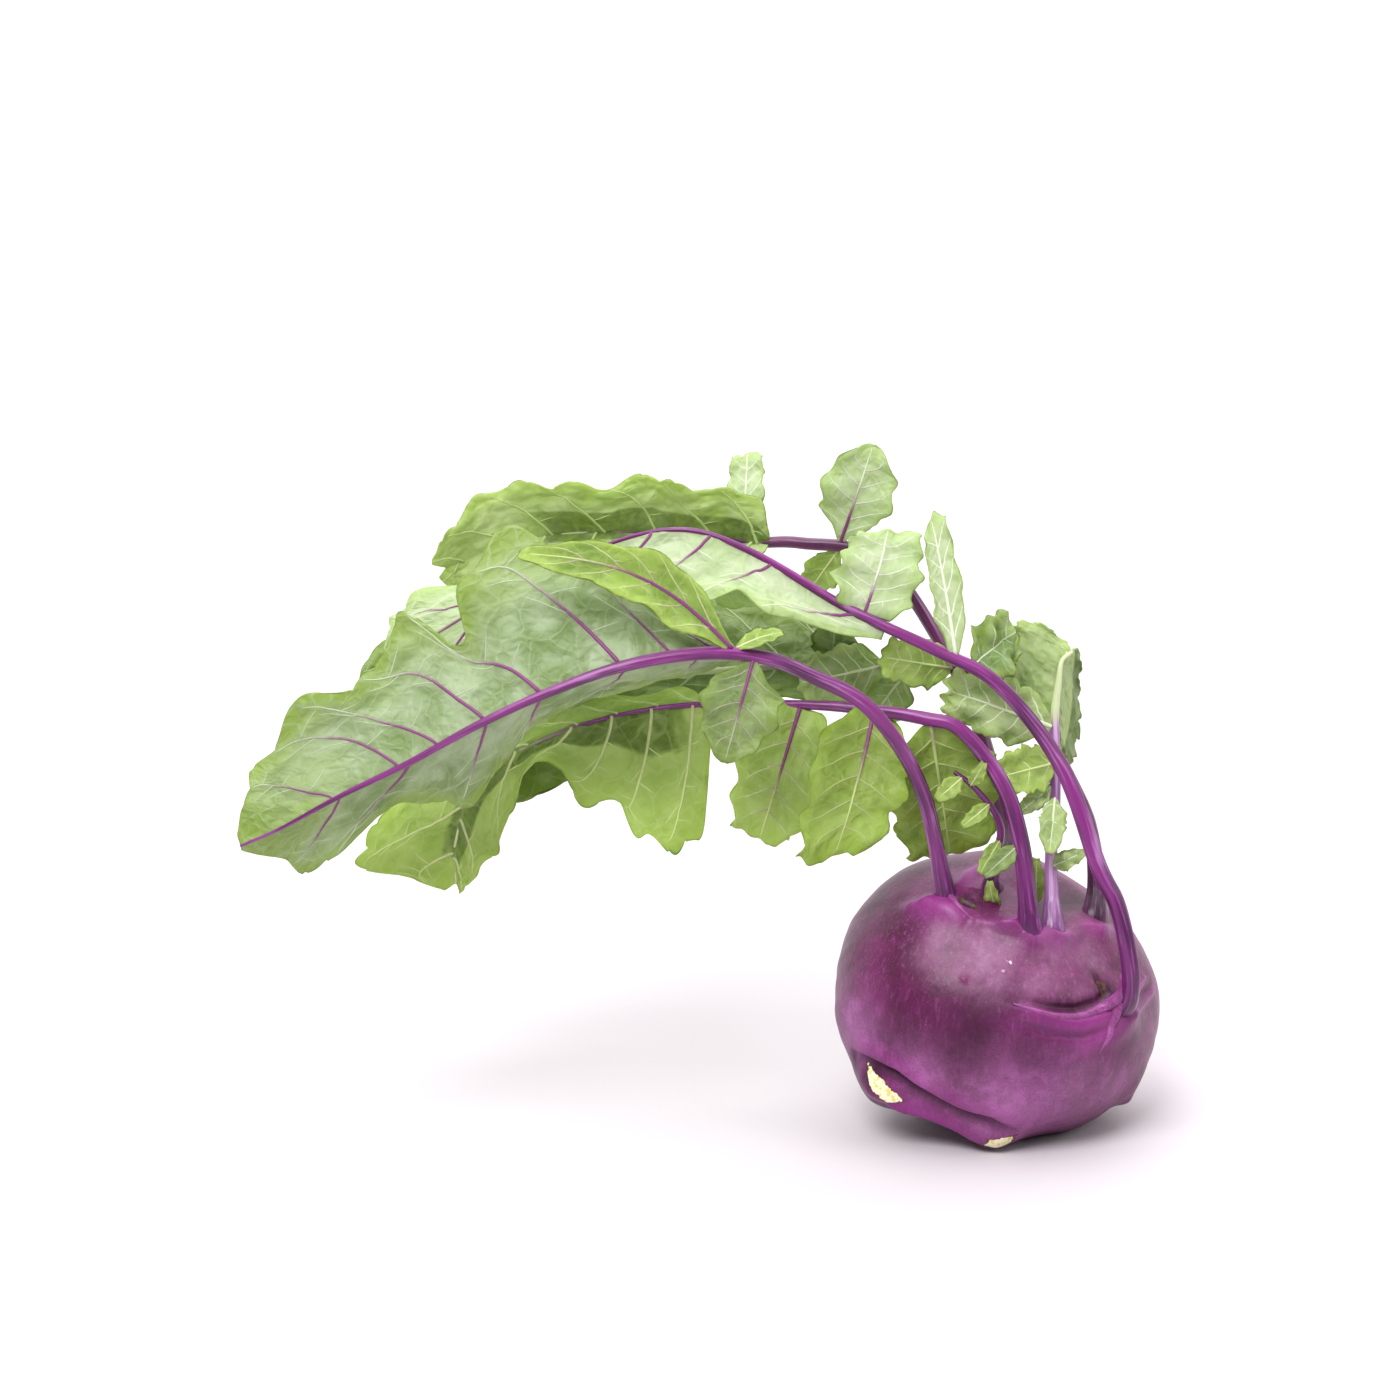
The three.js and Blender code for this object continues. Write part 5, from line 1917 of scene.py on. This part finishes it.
LEAF_FINISHES = (
    LeafFinish(
        Tint.SAGE, upper=tone(106, 136, 56), upper_light=tone(132, 158, 74),
        under=tone(122, 146, 84), under_light=tone(172, 190, 150), margin=tone(140, 166, 64),
        net=tone(192, 206, 172), spot=tone(104, 132, 58)),
    LeafFinish(
        Tint.LIME, upper=tone(116, 148, 54), upper_light=tone(148, 178, 76),
        under=tone(146, 174, 76), under_light=tone(182, 206, 116), margin=tone(172, 200, 90),
        net=tone(206, 220, 150), spot=tone(120, 152, 56), glow=tone(184, 212, 84), passes=0.3),
    LeafFinish(
        Tint.OLIVE, upper=tone(100, 130, 42), upper_light=tone(128, 158, 60),
        under=tone(122, 148, 50), under_light=tone(146, 170, 78), margin=tone(146, 176, 62),
        net=tone(180, 198, 120), spot=tone(98, 128, 38), glow=tone(164, 194, 58)),
    LeafFinish(
        Tint.PALE, upper=tone(124, 158, 82), upper_light=tone(164, 188, 116),
        under=tone(192, 212, 158), under_light=tone(214, 226, 190), margin=tone(180, 206, 126),
        net=tone(224, 232, 206), spot=tone(154, 184, 108), glow=tone(200, 222, 136), passes=0.35),
    LeafFinish(
        Tint.CROWN, upper=tone(154, 182, 104), upper_light=tone(194, 212, 146),
        under=tone(152, 178, 100), under_light=tone(192, 208, 148), margin=tone(178, 204, 108),
        net=tone(214, 224, 186), spot=tone(114, 142, 68), passes=0.3),
    # painted shade: a darker copy of the greens for leaves deep in the shade of others
    LeafFinish(
        Tint.SHADED, upper=tone(80, 106, 44), upper_light=tone(106, 132, 58),
        under=tone(108, 130, 66), under_light=tone(140, 158, 94), margin=tone(126, 152, 56),
        net=tone(170, 188, 144), spot=tone(78, 104, 44)),
    LeafFinish(
        Tint.FAR, upper=tone(164, 190, 104), upper_light=tone(218, 230, 182),
        under=tone(160, 186, 104), under_light=tone(172, 196, 116), margin=tone(176, 202, 102),
        net=tone(172, 192, 120), spot=tone(126, 156, 64), glow=tone(196, 218, 110), passes=0.3),
)


# ---------------------------------------------------------------- floor, light and camera
@dataclass
class Studio:
    """A pale floor, soft light all round and the camera. Sizes here are in metres."""

    target: Point = (-0.0825, 0.0, 0.1198)
    distance: float = 1.925
    elevation: float = 15.0
    lens: float = 180.0
    floor_half: float = 6.0
    floor_colour: Colour = (0.61, 0.57, 0.60)
    front: float = 0.25
    back: float = 1.2

    def camera(self) -> None:
        """Sets up the camera."""
        made = bpy.data.cameras.new("camera")
        made.lens = self.lens
        made.sensor_width = 36.0
        made.sensor_fit = "HORIZONTAL"
        made.clip_end = 50.0
        seen = bpy.data.objects.new("camera", made)
        tilt = math.radians(self.elevation)
        away = Vector((0.0, -math.cos(tilt), math.sin(tilt))) * self.distance
        seen.location = Vector(self.target) + away
        seen.rotation_euler = (-away).to_track_quat("-Z", "Y").to_euler()
        bpy.context.scene.collection.objects.link(seen)
        bpy.context.scene.camera = seen

    def floor(self) -> None:
        """Lays the floor."""
        half = self.floor_half
        mesh = bpy.data.meshes.new("floor")
        corners = [(-half, -half, 0), (half, -half, 0), (half, half, 0), (-half, half, 0)]
        mesh.from_pydata(corners, [], [(0, 1, 2, 3)])
        shader = Shader("pale_floor")
        shader.finish(Base_Color=self.floor_colour, Roughness=0.6, Specular_IOR_Level=0.2)
        mesh.materials.append(shader.material)
        made = bpy.data.objects.new("floor", mesh)
        bpy.context.scene.collection.objects.link(made)

    def light(self, name: str, at: Point, spread: float, strength: float) -> None:
        """Hangs one far-off soft light that looks at the bulb and the leaves.

        Args:
            name: Name of the light.
            at: The direction it shines from.
            spread: How wide it looks, in degrees.
            strength: Its strength in watts per square metre.
        """
        made = bpy.data.lights.new(name, "SUN")
        made.angle = math.radians(spread)
        made.energy = strength
        hung = bpy.data.objects.new(name, made)
        hung.location = at
        hung.rotation_euler = Vector(at).to_track_quat("Z", "Y").to_euler()
        bpy.context.scene.collection.objects.link(hung)

    def build(self) -> None:
        """Sets up the camera, floor and lights."""
        self.camera()
        self.floor()
        world = bpy.data.worlds.new("white_tent")
        world.use_nodes = True
        nodes = world.node_tree.nodes
        way = nodes.new("ShaderNodeSeparateXYZ")
        world.node_tree.links.new(nodes.new("ShaderNodeTexCoord").outputs["Generated"], way.inputs[0])
        share = nodes.new("ShaderNodeMapRange")
        ramp = {"From Min": -0.5, "From Max": 0.6, "To Min": self.front, "To Max": self.back}
        for name, number in ramp.items():
            share.inputs[name].default_value = number
        world.node_tree.links.new(way.outputs["Y"], share.inputs["Value"])
        nodes["Background"].inputs[0].default_value = (1.0, 1.0, 1.0, 1.0)
        world.node_tree.links.new(share.outputs[0], nodes["Background"].inputs[1])
        bpy.context.scene.world = world
        self.light("key", (-0.5, -1.05, 1.4), 30.0, 2.6)
        self.light("side", (1.2, -0.5, 0.9), 30.0, 0.6)
        self.light("top", (-0.1, 0.45, 1.9), 75.0, 2.2)
        bpy.context.scene.view_settings.view_transform = "Standard"


def main() -> None:
    """Builds the kohlrabi, its floor, light and camera."""
    Studio().build()
    LOG.info("camera, floor and lights are up")
    bulb = Bulb()
    settle(bulb.build(), "bulb", Look.SKIN)
    finishes = {finish.tint: [finish.material()] for finish in STALK_FINISHES}
    for finish in LEAF_FINISHES:
        veins = VeinFinish(f"{finish.tint.value}_vein", finish.net, finish.under_light)
        finishes[finish.tint] = [finish.material(), veins.material()]
    for leaf in LEAVES:
        leaf.build(bulb, finishes)
        LOG.info("%s is built", leaf.name)
    for index, leaflet in enumerate(HEART_LEAVES, 1):
        made = leaflet.build(f"heart_leaf_{index}_sheet", np.array(leaflet.base, float),
                             HEART_SEED + index, finishes[Tint.LIME])
        settle(made, f"heart_leaf_{index}", Look.YELLOW)


if __name__ == "__main__":
    logging.basicConfig(level=logging.INFO, format="%(message)s")
    main()
